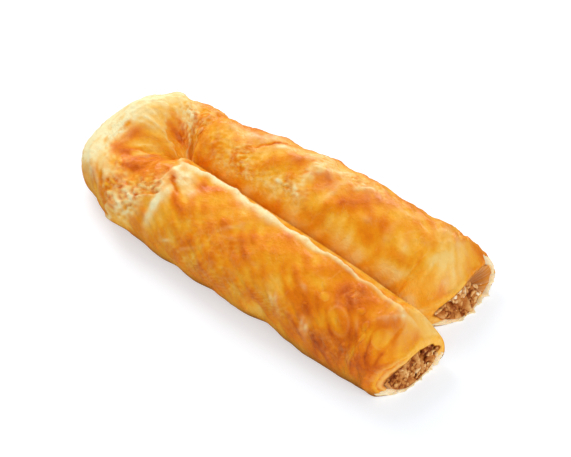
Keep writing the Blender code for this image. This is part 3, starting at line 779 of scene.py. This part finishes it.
bore = {  # the lining behind the crust's mouths
    "lipRings": 14,
    "step": 9,
    "shallow": (2.5, 4),  # it is rough and pale up to this far behind the lip, fading over so much more
    "rough": (0.04, 5, 44),  # share of its size by which the mouth's inner edge wanders, length, seed
    "brown": 0.5,
    "uneven": (0.08, 3, 42),
    "stretch": (0.3, 1, 1),
    "lipPaler": 0.2,
    "lipCream": 0.3,
    # painted shade inside the bore, less at the pale lip
    "shade": 1.1,
    "fleck": 0.2,
}


def makeCrust(finish):  # one closed skin: the outside, the far cut edge, the bore and the near cut edge
    angles = roundAngles(skin["pointsRound"])[None, :]
    outer, masks = crustSkin(ringPlaces()[:, None], angles)
    close = np.linspace(mouth["depth"], mouth["lipLength"], bore["lipRings"])
    between = np.arange(mouth["lipLength"] + bore["step"], rollEnd - mouth["lipLength"] - 1, bore["step"])
    borePlaces = np.concatenate([close, between, rollEnd - close[::-1]])[:, None]
    inner = borePoints(borePlaces, angles, 0)
    shallow = 1 - ramp(fromEnd(borePlaces), *bore["shallow"])
    middle = inner.mean(1, keepdims=True)
    inner = middle + (inner - middle) * (1 + shallow * ripple(inner, bore["rough"]))[..., None]
    lip = ofArm(borePlaces, (lipShare(angles, "near"), lipShare(angles, "far"))) * shallow
    inside = {
        "brown": bore["brown"] + ripple(inner * bore["stretch"], bore["uneven"]) - bore["lipPaler"] * lip,
        "cream": bore["lipCream"] * lip,
        "shade": bore["shade"] * (1 - lip),
        "fleck": bore["fleck"],
    }
    inside = {key: value + 0 * inner[..., 0] for key, value in inside.items()}
    fromSkin = ease(bandShares() / band["fromSkin"])
    bands, insideStreaks = [], []
    for end, edge in (("near", 0), ("far", -1)):
        points, bandMasks = bandRings(outer[edge], inner[edge], angles, end)
        for key in bandMasks:
            bandMasks[key] = masks[key][edge] + fromSkin * (bandMasks[key] - masks[key][edge])
        bandMasks["streak"] = masks["streak"][edge] + (points - outer[edge]) * mm
        insideStreaks.append(masks["streak"][edge] + (inner - outer[edge]) * mm)
        bands.append((points, bandMasks))
    inside["streak"] = ofArm(borePlaces[..., None], insideStreaks)
    (nearBand, nearMasks), (farBand, farMasks) = bands
    points = np.concatenate([outer, farBand, inner[::-1], nearBand[::-1]])
    merged = {
        key: np.concatenate([outerMask, farMasks[key], inside[key][::-1], nearMasks[key][::-1]])
        for key, outerMask in masks.items()
    }
    faces = gridFaces(len(points), angles.size, closeRings=True)[:, ::-1]
    return addPiece("pastryCrust", points, faces, merged, finish, ["pastry_roll"])


leaves = {  # a torn strip that wraps the lip under each mouth
    "points": 420,
    "across": 9,
    "behind": 1.1,  # how far behind the edge it starts
    "inside": 0.6,  # how far behind the mouth's inner edge it ends
    "inset": 0.15,
    "rough": ((1, 7, 51), (0.6, 2.2, 61)),  # height, length, seed
    "tearWidth": 2.2,
    "taper": 12,  # degrees over which it runs out at either end
    "reach": 0.9,
    "ragged": 0.35,
    "leastReach": 0.1,
    "roundness": 0.8,  # below 1 its fold is fuller than a sine
    "tucked": 0.5,
    "lift": 0.12,
    "droop": 0.15,
    "lowest": 0.05,
    "brown": (0.16, 0.06, 0.2),  # all over, where it is rough, further in
    "cream": (0.4, 0.3, 0.1),  # all over, at the tips, where it is rough
    "near": {
        "angles": (180, 342),
        "tears": (
            (222, 0.6), (236, 1.2), (247, 0.5), (262, 1.3), (271, 0.4), (283, 0.9), (301, 0.5), (322, 0.6),
        ),
    },
    "far": {
        "angles": (212, 402),
        "tears": (
            (222, 0.5), (240, 0.4), (255, 1), (262, 0.5), (273, 1.5), (290, 1), (306, 1.6), (331, 0.9),
        ),
    },
}


def makeLeaves(name, end, finish):  # each section bulges forward as sin^roundness to a ragged tip
    angle = np.linspace(*leaves[end]["angles"], leaves["points"])[None, :]
    place, borePlace = onRoll(end, leaves["behind"]), onRoll(end, mouth["depth"] + leaves["inside"])
    outer = crustSkin(np.array([[place]]), angle)[0][0]
    inner = borePoints(np.array([[borePlace]]), angle, leaves["inset"])[0]
    share = np.linspace(0, 1, leaves["across"])[:, None]
    rough = ripple(outer + 0.5 * (inner - outer), *leaves["rough"])
    width = leaves["tearWidth"]
    tears = sum(size * np.exp(-np.abs(angle[0] - at) / width) for at, size in leaves[end]["tears"])
    taper = window(angle[0], *leaves[end]["angles"], leaves["taper"])
    reach = np.maximum(leaves["reach"] + leaves["ragged"] * rough + tears, leaves["leastReach"])
    reach = leaves["behind"] + reach
    bulge = np.sin(math.pi * share) ** leaves["roundness"]
    points = outer + share[..., None] * (inner - outer)
    points[..., 0] += (reach * taper - leaves["tucked"] * (1 - taper)) * bulge
    points[..., 2] += (leaves["lift"] * rough - leaves["droop"] * tears) * bulge
    points[..., 2] = np.maximum(points[..., 2], leaves["lowest"])
    blank = 0 * bulge + 0 * rough
    brown, roughBrown, innerBrown = leaves["brown"]
    cream, tipCream, roughCream = leaves["cream"]
    masks = {
        "brown": brown + roughBrown * rough + innerBrown * ease(2 * share - 1) + blank,
        "cream": cream + tipCream * bulge + roughCream * rough,
        "shade": blank,
        "fleck": blank,
        "streak": points * mm,
    }
    faces = gridFaces(leaves["across"], leaves["points"], closeRound=False)
    return addPiece(name, points, faces[:, ::-1] if end == "near" else faces, masks, finish)


drape = {  # the lining hangs over the outer part of the far mouth as a shallow dish
    "angles": (-60, 128),
    "points": 120,
    "rings": 18,
    "forward": 0.2,  # how far its rim stands before the mouth's inner edge
    "inset": -0.25,  # less than 0 lies in the wall
    "inner": 0.12,  # share of the mouth's size where it meets the filling
    "sink": (2.6, 0, 0.9),  # inwards: how much, from which share of the way, over how much of it
    "side": 14,  # degrees in from either side where it sinks too
    "sideSink": 1.5,
    "ripple": 0.14,
    "ripples": (5, 45),  # length, seed
    "fine": (1.6, 46),
    "thickness": 0.5,
    # browner and darker inwards: juice stain with painted shade under the roof
    "brown": 0.5,
    "inwardJuiceAndShade": (0.3, 0, 0.6),
    "uneven": 0.05,
    "cream": 0.1,
    "shade": 0.6,
    "inwardShade": (0.6, 0, 0.5),
}


def makeDrape(finish):  # a fan of rings that shrink towards the mouth's middle while they sink
    angles = np.linspace(*drape["angles"], drape["points"])[None, :]
    place = np.array([[onRoll("far", mouth["depth"] - drape["forward"])]])
    middle = borePoints(place, np.linspace(0, 355, 72)[None, :], 0)[0].mean(0)
    rim = borePoints(place, angles, drape["inset"])
    share = np.linspace(1, drape["inner"], drape["rings"])[:, None]
    inward = (1 - share) / (1 - drape["inner"])
    points = middle + share[..., None] * (rim - middle)
    along = np.stack([angles / 3, 0 * angles, 0 * angles], -1)
    ripples, fine = waves(along, *drape["ripples"]) * (0.4 + 0.6 * inward), waves(along, *drape["fine"])
    side = 1 - window(angles, *drape["angles"], drape["side"])
    points[..., 0] += drape["ripple"] * ripples - rise(inward, *drape["sink"])
    points[..., 0] -= drape["sideSink"] * side * inward
    brown = drape["brown"] + rise(inward, *drape["inwardJuiceAndShade"]) + drape["uneven"] * (ripples + fine)
    masks = {
        "brown": brown,
        "cream": positive(drape["cream"] * (1 + fine)) * (1 - 0.5 * inward),
        "shade": drape["shade"] + rise(inward, *drape["inwardShade"]) + 0 * brown,
        "fleck": 0 * brown,
        "streak": points * mm,
    }
    faces = gridFaces(drape["rings"], drape["points"], closeRound=False)
    piece = addPiece("farLining", points, faces, masks, finish)
    wall = piece.modifiers.new("thickness", "SOLIDIFY")
    wall.thickness = drape["thickness"] * mm
    wall.offset = -1
    return piece


filling = {
    "gap": -0.2,  # it is pressed a little into the lining
    "back": 2.4,  # how far its face lies behind the mouth's inner edge
    "forward": 3.8,  # how much further forward it reaches along the bottom
    "forwardUpTo": 0.75,  # share of its height
    "lumps": ((1, 6, 72), (0.35, 2.4, 73)),  # height, length, seed
    "faceRings": 30,
    "pointsRound": 120,
    "endRings": 8,
    "endLength": 12,
    "step": 9,
    "farHollow": 5,  # the far mouth is hollow above the filling at its outer side
    "hollowAcross": (0.42, 0.4),
    "hollowUp": (0.35, 0.7),  # share of it at the bottom, and share of the height where it is full
    "tone": 0.34,
    "lumpTone": 0.1,
    "topJuiceAndShade": (0.3, 0.65, 0.3),  # darker towards the top, partly juice and partly painted shade under the crust: by, from this share of the height, over so much
    "bodyTone": 0.35,
    "uneven": (0.1, 8, 71),
}
shreds = {  # of grated apple, heaped over the filling's ends
    "count": 130,
    "spread": 0.92,  # share of the mouth's area
    "length": (2.4, 5.4),
    "breadth": (1.6, 3.2),
    "thickness": (1.4, 2.6),
    "twist": (-0.9, 0.9),  # radians each way from its middle
    "bend": (-0.5, 0.5),
    "forward": (-0.9, 1.1),
    "topBack": (1.2, 0.6, 0.3),  # further back by, from this share of the height, over so much
    "farBack": (4, 0.45, 0.2),  # the same outwards in the far mouth
    "farUp": (0.3, 0.25),  # but only above this share of the height
    "heading": (0.35, 1, 0.7),  # they lie across the mouth more than along the roll
    "girth": (1.02, 2.2, 0.02),  # root of the first less x to the second, and of the third at least
    "lumps": (0.12, 4),
    "rings": 8,
    "points": 7,
    "heap": -0.2,  # how far the shreds stand out of the mouth before they are pressed flatter
    "squash": 0.35,  # share by which they are pressed
    "nearTone": 0.47,
    "farTone": 0.6,
    "heapTone": (0.2, 9),  # how much it varies from shred to shred, over what length
    "ownTone": (-0.16, 0.2),  # and by chance
    # darker towards the top, partly juice and partly painted shade under the crust
    "topJuiceAndShade": (0.45, 0.6, 0.35),
    "fineTone": (0.1, 1.8),  # within a shred
}


def faceSink(points, ring, end):  # how far the filling's face lies back, and shares upwards and outwards
    low, high = ring[..., 2].min(), ring[..., 2].max()
    across, rim = np.abs(points[..., 1] - roll["seamY"]), np.abs(ring[..., 1] - roll["seamY"])
    outward = (across - rim.min()) / (rim.max() - rim.min())
    upward = (points[..., 2] - low) / (high - low)
    least, full = filling["hollowUp"]
    sink = filling["farHollow"] * ramp(outward, *filling["hollowAcross"])
    sink = sink * (least + (1 - least) * ease(upward / full)) * (end == "far")
    return sink - filling["forward"] * (1 - ease(upward / filling["forwardUpTo"])), upward, outward


def insideRing(points, ring):  # points drawn in towards the ring's middle where they stand out of it
    middle = ring.mean(0)
    offset, rim = points - middle, ring - middle
    turn, rimTurn = np.arctan2(offset[..., 2], offset[..., 1]), np.arctan2(rim[:, 2], rim[:, 1])
    limit = np.interp(turn, rimTurn, np.hypot(rim[:, 1], rim[:, 2]), period=2 * math.pi)
    front = np.interp(turn, rimTurn, rim[:, 0], period=2 * math.pi)
    outward = np.hypot(offset[..., 1], offset[..., 2]) / limit
    scale = np.minimum(1, 1 / np.maximum(outward, 0.01))
    ahead = positive(offset[..., 0] - front * np.minimum(outward, 1) - shreds["heap"])
    offset[..., 0] -= shreds["squash"] * ahead
    return middle + offset * np.stack([0 * scale + 1, scale, scale], -1)


def makeFilling(finish):  # a lumpy core that follows the bore, with a fan of faces in each end's middle
    angles = np.linspace(0, 360, filling["pointsRound"], endpoint=False)[None, :]
    close = mouth["depth"] + filling["back"] + np.linspace(0, filling["endLength"], filling["endRings"])
    between = np.arange(close[-1] + filling["step"], rollEnd - close[-1] - 1, filling["step"])
    places = np.concatenate([close, between, rollEnd - close[::-1]])[:, None]
    body = borePoints(places, angles, filling["gap"])
    stacks, tones = [], []
    for ring, end in ((body[0], "near"), (body[-1], "far")):
        middle = ring.mean(0)
        share = np.linspace(0, 0.99, filling["faceRings"])[:, None, None]
        face = middle + share * (ring - middle)
        sink, upward, _ = faceSink(face, ring, end)
        lumps = ripple(face, *filling["lumps"])
        face[..., 0] += lumps * (1 - share[..., 0] ** 4) - sink
        stacks.append(face)
        tones.append(filling["tone"] + filling["lumpTone"] * lumps - rise(upward, *filling["topJuiceAndShade"]))
    poles = [stack[:1, 0] for stack in stacks]
    points = np.concatenate([stacks[0][1:], body, stacks[1][:0:-1]]).reshape(-1, 3)
    bodyTone = filling["bodyTone"] + ripple(body, filling["uneven"])
    tone = np.concatenate([tones[0][1:], bodyTone, tones[1][:0:-1]]).ravel()
    rings, around = len(tone) // angles.size, angles.size
    start, turn = (rings - 1) * around, np.arange(around)
    nextTurn = (turn + 1) % around
    nearFan = np.stack([turn, nextTurn, 0 * turn + len(tone)], -1)
    farFan = np.stack([start + nextTurn, start + turn, 0 * turn + len(tone) + 1], -1)
    faces = gridFaces(rings, around)[:, ::-1].tolist() + nearFan.tolist() + farFan.tolist()
    tone = np.concatenate([tone, tones[0][0, :1], tones[1][0, :1]])
    points = np.concatenate([points, *poles])
    addPiece("appleFilling", points, faces, {"tone": tone}, finish, ["apple_filling"])
    return {"near": body[0], "far": body[-1]}


def makeShreds(name, end, ring, seed, finish):  # lumpy ribbons, twisted and bent as a parabola, over an end
    random = np.random.default_rng(seed)
    count = shreds["count"]
    radius = np.sqrt(random.uniform(0, shreds["spread"], count))
    turn = random.uniform(0, 2 * math.pi, count)
    middle = ring.mean(0)
    index = np.round(turn / (2 * math.pi) * len(ring)).astype(int) % len(ring)
    centre = middle + radius[:, None] * (ring[index] - middle)
    sink, upward, outward = faceSink(centre, ring, end)
    centre[:, 0] += random.uniform(*shreds["forward"], count) - sink - rise(upward, *shreds["topBack"])
    if end == "far":
        centre[:, 0] -= rise(outward, *shreds["farBack"]) * ramp(upward, *shreds["farUp"])
    spans = (shreds[key] for key in ("length", "breadth", "thickness", "twist", "bend"))
    drawn = (random.uniform(*span, count)[:, None, None] for span in spans)
    length, breadth, thickness, twist, bend = drawn
    heading = random.normal(size=(count, 3)) * shreds["heading"]
    heading /= np.linalg.norm(heading, axis=1, keepdims=True)
    aside = np.cross(heading, random.normal(size=(count, 3)))
    aside /= np.linalg.norm(aside, axis=1, keepdims=True)
    thick = np.cross(heading, aside)
    along = np.linspace(-1, 1, shreds["rings"])[None, :, None]
    around = np.linspace(0, 2 * math.pi, shreds["points"], endpoint=False)[None, None, :]
    most, power, least = shreds["girth"]
    girth = np.clip(most - np.abs(along) ** power, least, None) ** 0.5
    wide, high = breadth / 2 * girth * np.cos(around), thickness / 2 * girth * np.sin(around)
    local = (
        length / 2 * along + 0 * around,
        wide * np.cos(twist * along) - high * np.sin(twist * along) + bend * length / 2 * along**2,
        wide * np.sin(twist * along) + high * np.cos(twist * along),
    )
    points = centre[:, None, None, :] + sum(
        part[..., None] * axis[:, None, None, :] for part, axis in zip(local, (heading, aside, thick))
    )
    for axis, number in ((aside, 1), (thick, 2)):
        lumps = ripple(points, (*shreds["lumps"], seed + number))
        points = points + lumps[..., None] * axis[:, None, None, :]
    rim = borePoints(np.array(onRoll(end, mouth["depth"])), np.linspace(0, 360, 90), 0)
    points = insideRing(points, rim)
    tone = shreds[end + "Tone"] + ripple(centre, (*shreds["heapTone"], seed + 4))
    tone = tone + random.uniform(*shreds["ownTone"], count) - rise(upward, *shreds["topJuiceAndShade"])
    rings, around = points.shape[1:3]
    each = rings * around
    first = each * np.arange(count)[:, None, None]
    ends = np.stack([np.arange(around)[::-1], np.arange(around) + each - around])[None] + first
    faces = (gridFaces(rings, around)[None] + first).reshape(-1, 4)[:, ::-1].tolist()
    faces += ends.reshape(-1, around)[:, ::-1].tolist()
    tones = np.repeat(tone, each) + ripple(points, (*shreds["fineTone"], seed + 3)).ravel()
    return addPiece(name, points, faces, {"tone": tones}, finish)


def feed(tree, socket, value):  # link another node's socket, or set a plain value
    if isinstance(value, bpy.types.NodeSocket):
        tree.links.new(value, socket)
    else:
        socket.default_value = value


def addNode(tree, kind, values=None, **settings):  # a shader node with its inputs set or linked
    made = tree.nodes.new("ShaderNode" + kind)
    for key, value in settings.items():
        setattr(made, key, value)
    for key, value in (values or {}).items():
        feed(tree, made.inputs[key], value)
    return made


def combined(tree, operation, *values, clamp=False):  # the values put together by a Math node
    return addNode(tree, "Math", dict(enumerate(values)), operation=operation, use_clamp=clamp).outputs[0]


def scaled(tree, value, factor, offset=0, clamp=False):  # value * factor + offset
    return combined(tree, "MULTIPLY_ADD", value, factor, offset, clamp=clamp)


def added(tree, total, *others):  # the sum of all of them
    for other in others:
        total = combined(tree, "ADD", total, other)
    return total


def centred(tree, noise, amount):  # noise from 0 to 1, made to vary by amount about 0
    return scaled(tree, noise, amount, -amount / 2)


def mixColour(tree, factor, first, second):  # first * (1 - factor) + second * factor
    return addNode(tree, "Mix", {0: factor, 6: first, 7: second}, data_type="RGBA").outputs[2]


def paint(red, green, blue):  # linear colour from the usual 0 to 255 values
    return tuple(((value / 255 + 0.055) / 1.055) ** 2.4 for value in (red, green, blue)) + (1,)


def rampColour(tree, value, stops):  # the stops' colours, blended between them by the value
    made = addNode(tree, "ValToRGB", {0: value})
    elements = made.color_ramp.elements
    while len(elements) < len(stops):
        elements.new(0.5)
    for element, (position, colour) in zip(elements, stops):
        element.position = position
        element.color = paint(*colour)
    return made.outputs[0]


def newFinish(name, values):  # a material whose Principled shader has these values
    made = bpy.data.materials.new(name)
    made.use_nodes = True
    shader = made.node_tree.nodes["Principled BSDF"]
    for key, value in values.items():
        shader.inputs[key].default_value = value
    return made, made.node_tree, shader


crustLook = {
    "name": "bakedPastry",
    "browning": (  # colour by how browned the crust is
        (0, (255, 210, 120)), (0.14, (254, 192, 76)), (0.28, (250, 172, 36)), (0.44, (244, 146, 8)),
        (0.6, (234, 124, 0)), (0.76, (212, 98, 0)), (0.9, (182, 76, 2)), (1, (146, 60, 4)), ),
        # pale dough, also used for the painted highlights on ridges and the crest
        "cream": (255, 241, 188),
}
leafLook = {  # the thin torn edges are paler and less yellow than the crust
    "name": "paleBakedPastry",
    "browning": (
        (0, (255, 222, 168)), (0.3, (250, 196, 128)), (0.6, (222, 150, 70)), (1, (150, 80, 20)), ),
        "cream": (255, 230, 196),
}
baking = {  # what both looks share
    "crumb": (255, 222, 150),
    # colour of the painted shade
    "shade": (160, 94, 18),
    "shadeShare": 0.6,
    "noises": {  # scale per metre, detail
        "blotch": (120, 3),
        "streak": (260, 4),
        "wisp": (260, 4),
        "speck": (420, 4),
        "crumb": (330, 3),
        "grain": (1500, 2),
    },
    "noiseRoughness": 0.6,
    "vary": {"blotch": 0.1, "speck": 0.22, "streak": 0.16},  # how much each noise changes the browning
    "creamPaler": 0.3,
    "creamUneven": (1.6, 0.1),
    "wispThin": 30,  # the higher, the thinner the pale wisps are
    "wispZones": (6, -3),
    "wispCream": 0.08,
    "wispHeight": 0.1,
    "crumbEdges": (4, -1.9),
    "crumbShare": 0.6,
    "grainHeight": 0.35,
    "roughness": (0.3, 0.36),  # how much it varies, and the least
    "bump": 0.8,
    "values": {"Specular IOR Level": 0.12, "Coat Roughness": 0.2},
}


def bakedGroup(look):  # browning, pale cream that also paints highlights, and painted shade, broken up by noise of six sizes
    group = bpy.data.node_groups.new(look["name"], "ShaderNodeTree")
    inputs = {"Brown": "Float", "Cream": "Float", "Shade": "Float", "Fleck": "Float", "Streak": "Vector"}
    outputs = {"Color": "Color", "Roughness": "Float", "Height": "Float"}
    for way, sockets in (("INPUT", inputs), ("OUTPUT", outputs)):
        for name, kind in sockets.items():
            group.interface.new_socket(name, in_out=way, socket_type="NodeSocket" + kind)
    given = group.nodes.new("NodeGroupInput").outputs
    where = addNode(group, "TexCoord").outputs["Object"]
    noise = {}
    for size, (scale, detail) in baking["noises"].items():
        vector = given["Streak"] if size in ("streak", "wisp") else where
        values = {"Vector": vector, "Scale": scale, "Detail": detail, "Roughness": baking["noiseRoughness"]}
        noise[size] = addNode(group, "TexNoise", values).outputs["Fac"]
    offMiddle = combined(group, "ABSOLUTE", combined(group, "SUBTRACT", noise["wisp"], 0.5))
    wisps = scaled(group, offMiddle, -baking["wispThin"], 1, clamp=True)
    zones = scaled(group, noise["blotch"], *baking["wispZones"], clamp=True)
    wisps = scaled(group, wisps, zones)
    varied = (centred(group, noise[size], amount) for size, amount in baking["vary"].items())
    browning = added(group, given["Brown"], *varied)
    paler = scaled(group, given["Cream"], baking["creamPaler"])
    colour = rampColour(group, combined(group, "SUBTRACT", browning, paler), look["browning"])
    # painted shade: a darker, duller colour mixed in by the mask
    shaded = scaled(group, given["Shade"], baking["shadeShare"])
    colour = mixColour(group, shaded, colour, paint(*baking["shade"]))
    crumbs = scaled(group, noise["crumb"], *baking["crumbEdges"], clamp=True)
    crumbs = scaled(group, scaled(group, crumbs, given["Fleck"]), baking["crumbShare"])
    colour = mixColour(group, crumbs, colour, paint(*baking["crumb"]))
    uneven = scaled(group, noise["speck"], *baking["creamUneven"])
    cream = scaled(group, given["Cream"], uneven)
    cream = combined(group, "ADD", cream, scaled(group, wisps, baking["wispCream"]), clamp=True)
    colour = mixColour(group, cream, colour, paint(*look["cream"]))
    rough = scaled(group, noise["speck"], *baking["roughness"])
    grain = scaled(group, noise["grain"], baking["grainHeight"])
    raised = scaled(group, wisps, baking["wispHeight"])
    height = added(group, grain, noise["speck"], crumbs, raised)
    put = group.nodes.new("NodeGroupOutput")
    for name, socket in (("Color", colour), ("Roughness", rough), ("Height", height)):
        group.links.new(socket, put.inputs[name])
    return group


def pastryFinish(name, look, relief, values):  # the look's group, fed with the mesh's own masks
    made, tree, shader = newFinish(name, {**baking["values"], **values})
    baked = addNode(tree, "Group", {}, node_tree=bakedGroup(look))
    for mask in ("brown", "cream", "shade", "fleck", "streak"):
        outputs = addNode(tree, "Attribute", attribute_name=mask).outputs
        tree.links.new(outputs["Vector" if mask == "streak" else "Fac"], baked.inputs[mask.title()])
    bumps = {"Height": baked.outputs["Height"], "Strength": baking["bump"], "Distance": relief * 0.001}
    tree.links.new(baked.outputs["Color"], shader.inputs["Base Color"])
    tree.links.new(baked.outputs["Roughness"], shader.inputs["Roughness"])
    tree.links.new(addNode(tree, "Bump", bumps).outputs["Normal"], shader.inputs["Normal"])
    return made


fillingLook = {
    "tones": (
        (0, (104, 40, 8)), (0.22, (156, 76, 20)), (0.42, (204, 128, 54)), (0.6, (234, 177, 104)),
        (0.8, (249, 210, 150)), (1, (255, 236, 200)), ), "moistScale": 700, "uneven": 0.4,
    "bump": (0.5, 0.0004),  # strength, height in metres
    "values": {"Roughness": 0.5, "Specular IOR Level": 0.35},
}


def fillingFinish():  # pale and dark apple by the mesh's own tone, varied by fine noise
    made, tree, shader = newFinish("appleMash", fillingLook["values"])
    where = addNode(tree, "TexCoord").outputs["Object"]
    values = {"Vector": where, "Scale": fillingLook["moistScale"], "Detail": 3}
    noise = addNode(tree, "TexNoise", values).outputs["Fac"]
    tone = addNode(tree, "Attribute", attribute_name="tone").outputs["Fac"]
    tone = added(tree, tone, centred(tree, noise, fillingLook["uneven"]))
    strength, distance = fillingLook["bump"]
    bump = addNode(tree, "Bump", {"Height": noise, "Strength": strength, "Distance": distance})
    tree.links.new(rampColour(tree, tone, fillingLook["tones"]), shader.inputs["Base Color"])
    tree.links.new(bump.outputs["Normal"], shader.inputs["Normal"])
    return made


view = {
    "azimuth": 42.7,
    "elevation": 45,
    "distance": 0.8,
    "target": (0.0063, 0.001, 0.014),
    "focalPixels": 1692,
    "imageWidth": 571,
    "sensor": 36,
}
lights = {  # towards the light, distance, size, power, colour, whether it shows in the gloss
    "key": ((-0.9, 0.25, 0.85), 0.9, (0.5, 0.5), 4.8, (1, 0.98, 0.95), False),
    "rim": ((-0.48, 0.85, 0.26), 0.9, (0.9, 0.3), 3, (1, 1, 1), True),
    "fill": ((1, -0.15, 0.6), 1.2, (0.8, 0.8), 6, (1, 0.98, 0.96), False),
}
studio = {
    "sky": 0.43,
    "floorHalf": 2,
    "floorDrop": 0.0002,
    "floor": {
        "Base Color": (0.55, 0.6, 0.66, 1),
        "Roughness": 0.9,
        "Specular IOR Level": 0.1,
        "Emission Color": (1, 1, 1, 1),
        "Emission Strength": 0.53,
    },
}


def addCamera():  # back from the target along the view's direction, turned to look at it
    azimuth, elevation = math.radians(view["azimuth"]), math.radians(view["elevation"])
    level = math.cos(elevation)
    back = (math.sin(azimuth) * level, -math.cos(azimuth) * level, math.sin(elevation))
    camera = addObject("camera", bpy.data.cameras.new("camera"))
    camera.data.sensor_width = view["sensor"]
    camera.data.lens = view["focalPixels"] * view["sensor"] / view["imageWidth"]
    camera.location = [at + view["distance"] * way for at, way in zip(view["target"], back)]
    camera.rotation_euler = (math.pi / 2 - elevation, 0, azimuth)
    bpy.context.scene.camera = camera


def addLights():  # each stands in its own direction from the origin and faces it
    for name, (towards, distance, size, power, colour, glossy) in lights.items():
        made = addObject(name, bpy.data.lights.new(name, "AREA"))
        made.data.shape = "SQUARE" if size[0] == size[1] else "RECTANGLE"
        made.data.size, made.data.size_y = size
        made.data.energy = power
        made.data.color = colour
        made.visible_glossy = glossy
        way = Vector(towards).normalized()
        made.location = way * distance
        made.rotation_euler = way.to_track_quat("Z", "Y").to_euler()
    world = bpy.context.scene.world = bpy.data.worlds.new("studio")
    world.use_nodes = True
    world.node_tree.nodes["Background"].inputs["Color"].default_value = (1, 1, 1, 1)
    world.node_tree.nodes["Background"].inputs["Strength"].default_value = studio["sky"]
    world.cycles_visibility.glossy = False  # only the rim light shows in the gloss
    bpy.context.scene.view_settings.view_transform = "Standard"


def addFloor():  # one pale square that glows a little, just under the roll
    half, drop = studio["floorHalf"], studio["floorDrop"]
    mesh = bpy.data.meshes.new("floor")
    corners = [(-half, -half, -drop), (half, -half, -drop), (half, half, -drop), (-half, half, -drop)]
    mesh.from_pydata(corners, [], [(0, 1, 2, 3)])
    mesh.materials.append(newFinish("paper", studio["floor"])[0])
    floor = addObject("floor", mesh)
    floor.visible_glossy = False


print("materials")
crustFinish = pastryFinish("bakedCrust", crustLook, 0.8, {"Coat Weight": 0.25})
leafValues = {  # light comes through such thin pastry
    "Coat Weight": 0.05,
    "Subsurface Weight": 0.6,
    "Subsurface Radius": (1, 0.8, 0.5),
    "Subsurface Scale": 0.0015,
}
leafFinish = pastryFinish("pastryLeaf", leafLook, 0.1, leafValues)
appleFinish = fillingFinish()

print("crust")
makeCrust(crustFinish)
makeLeaves("nearLeaves", "near", leafFinish)
makeLeaves("farLeaves", "far", leafFinish)
makeDrape(crustFinish)
print("filling")
ends = makeFilling(appleFinish)
makeShreds("nearShreds", "near", ends["near"], 81, appleFinish)
makeShreds("farShreds", "far", ends["far"], 91, appleFinish)
print("stage")
addFloor()
addLights()
addCamera()
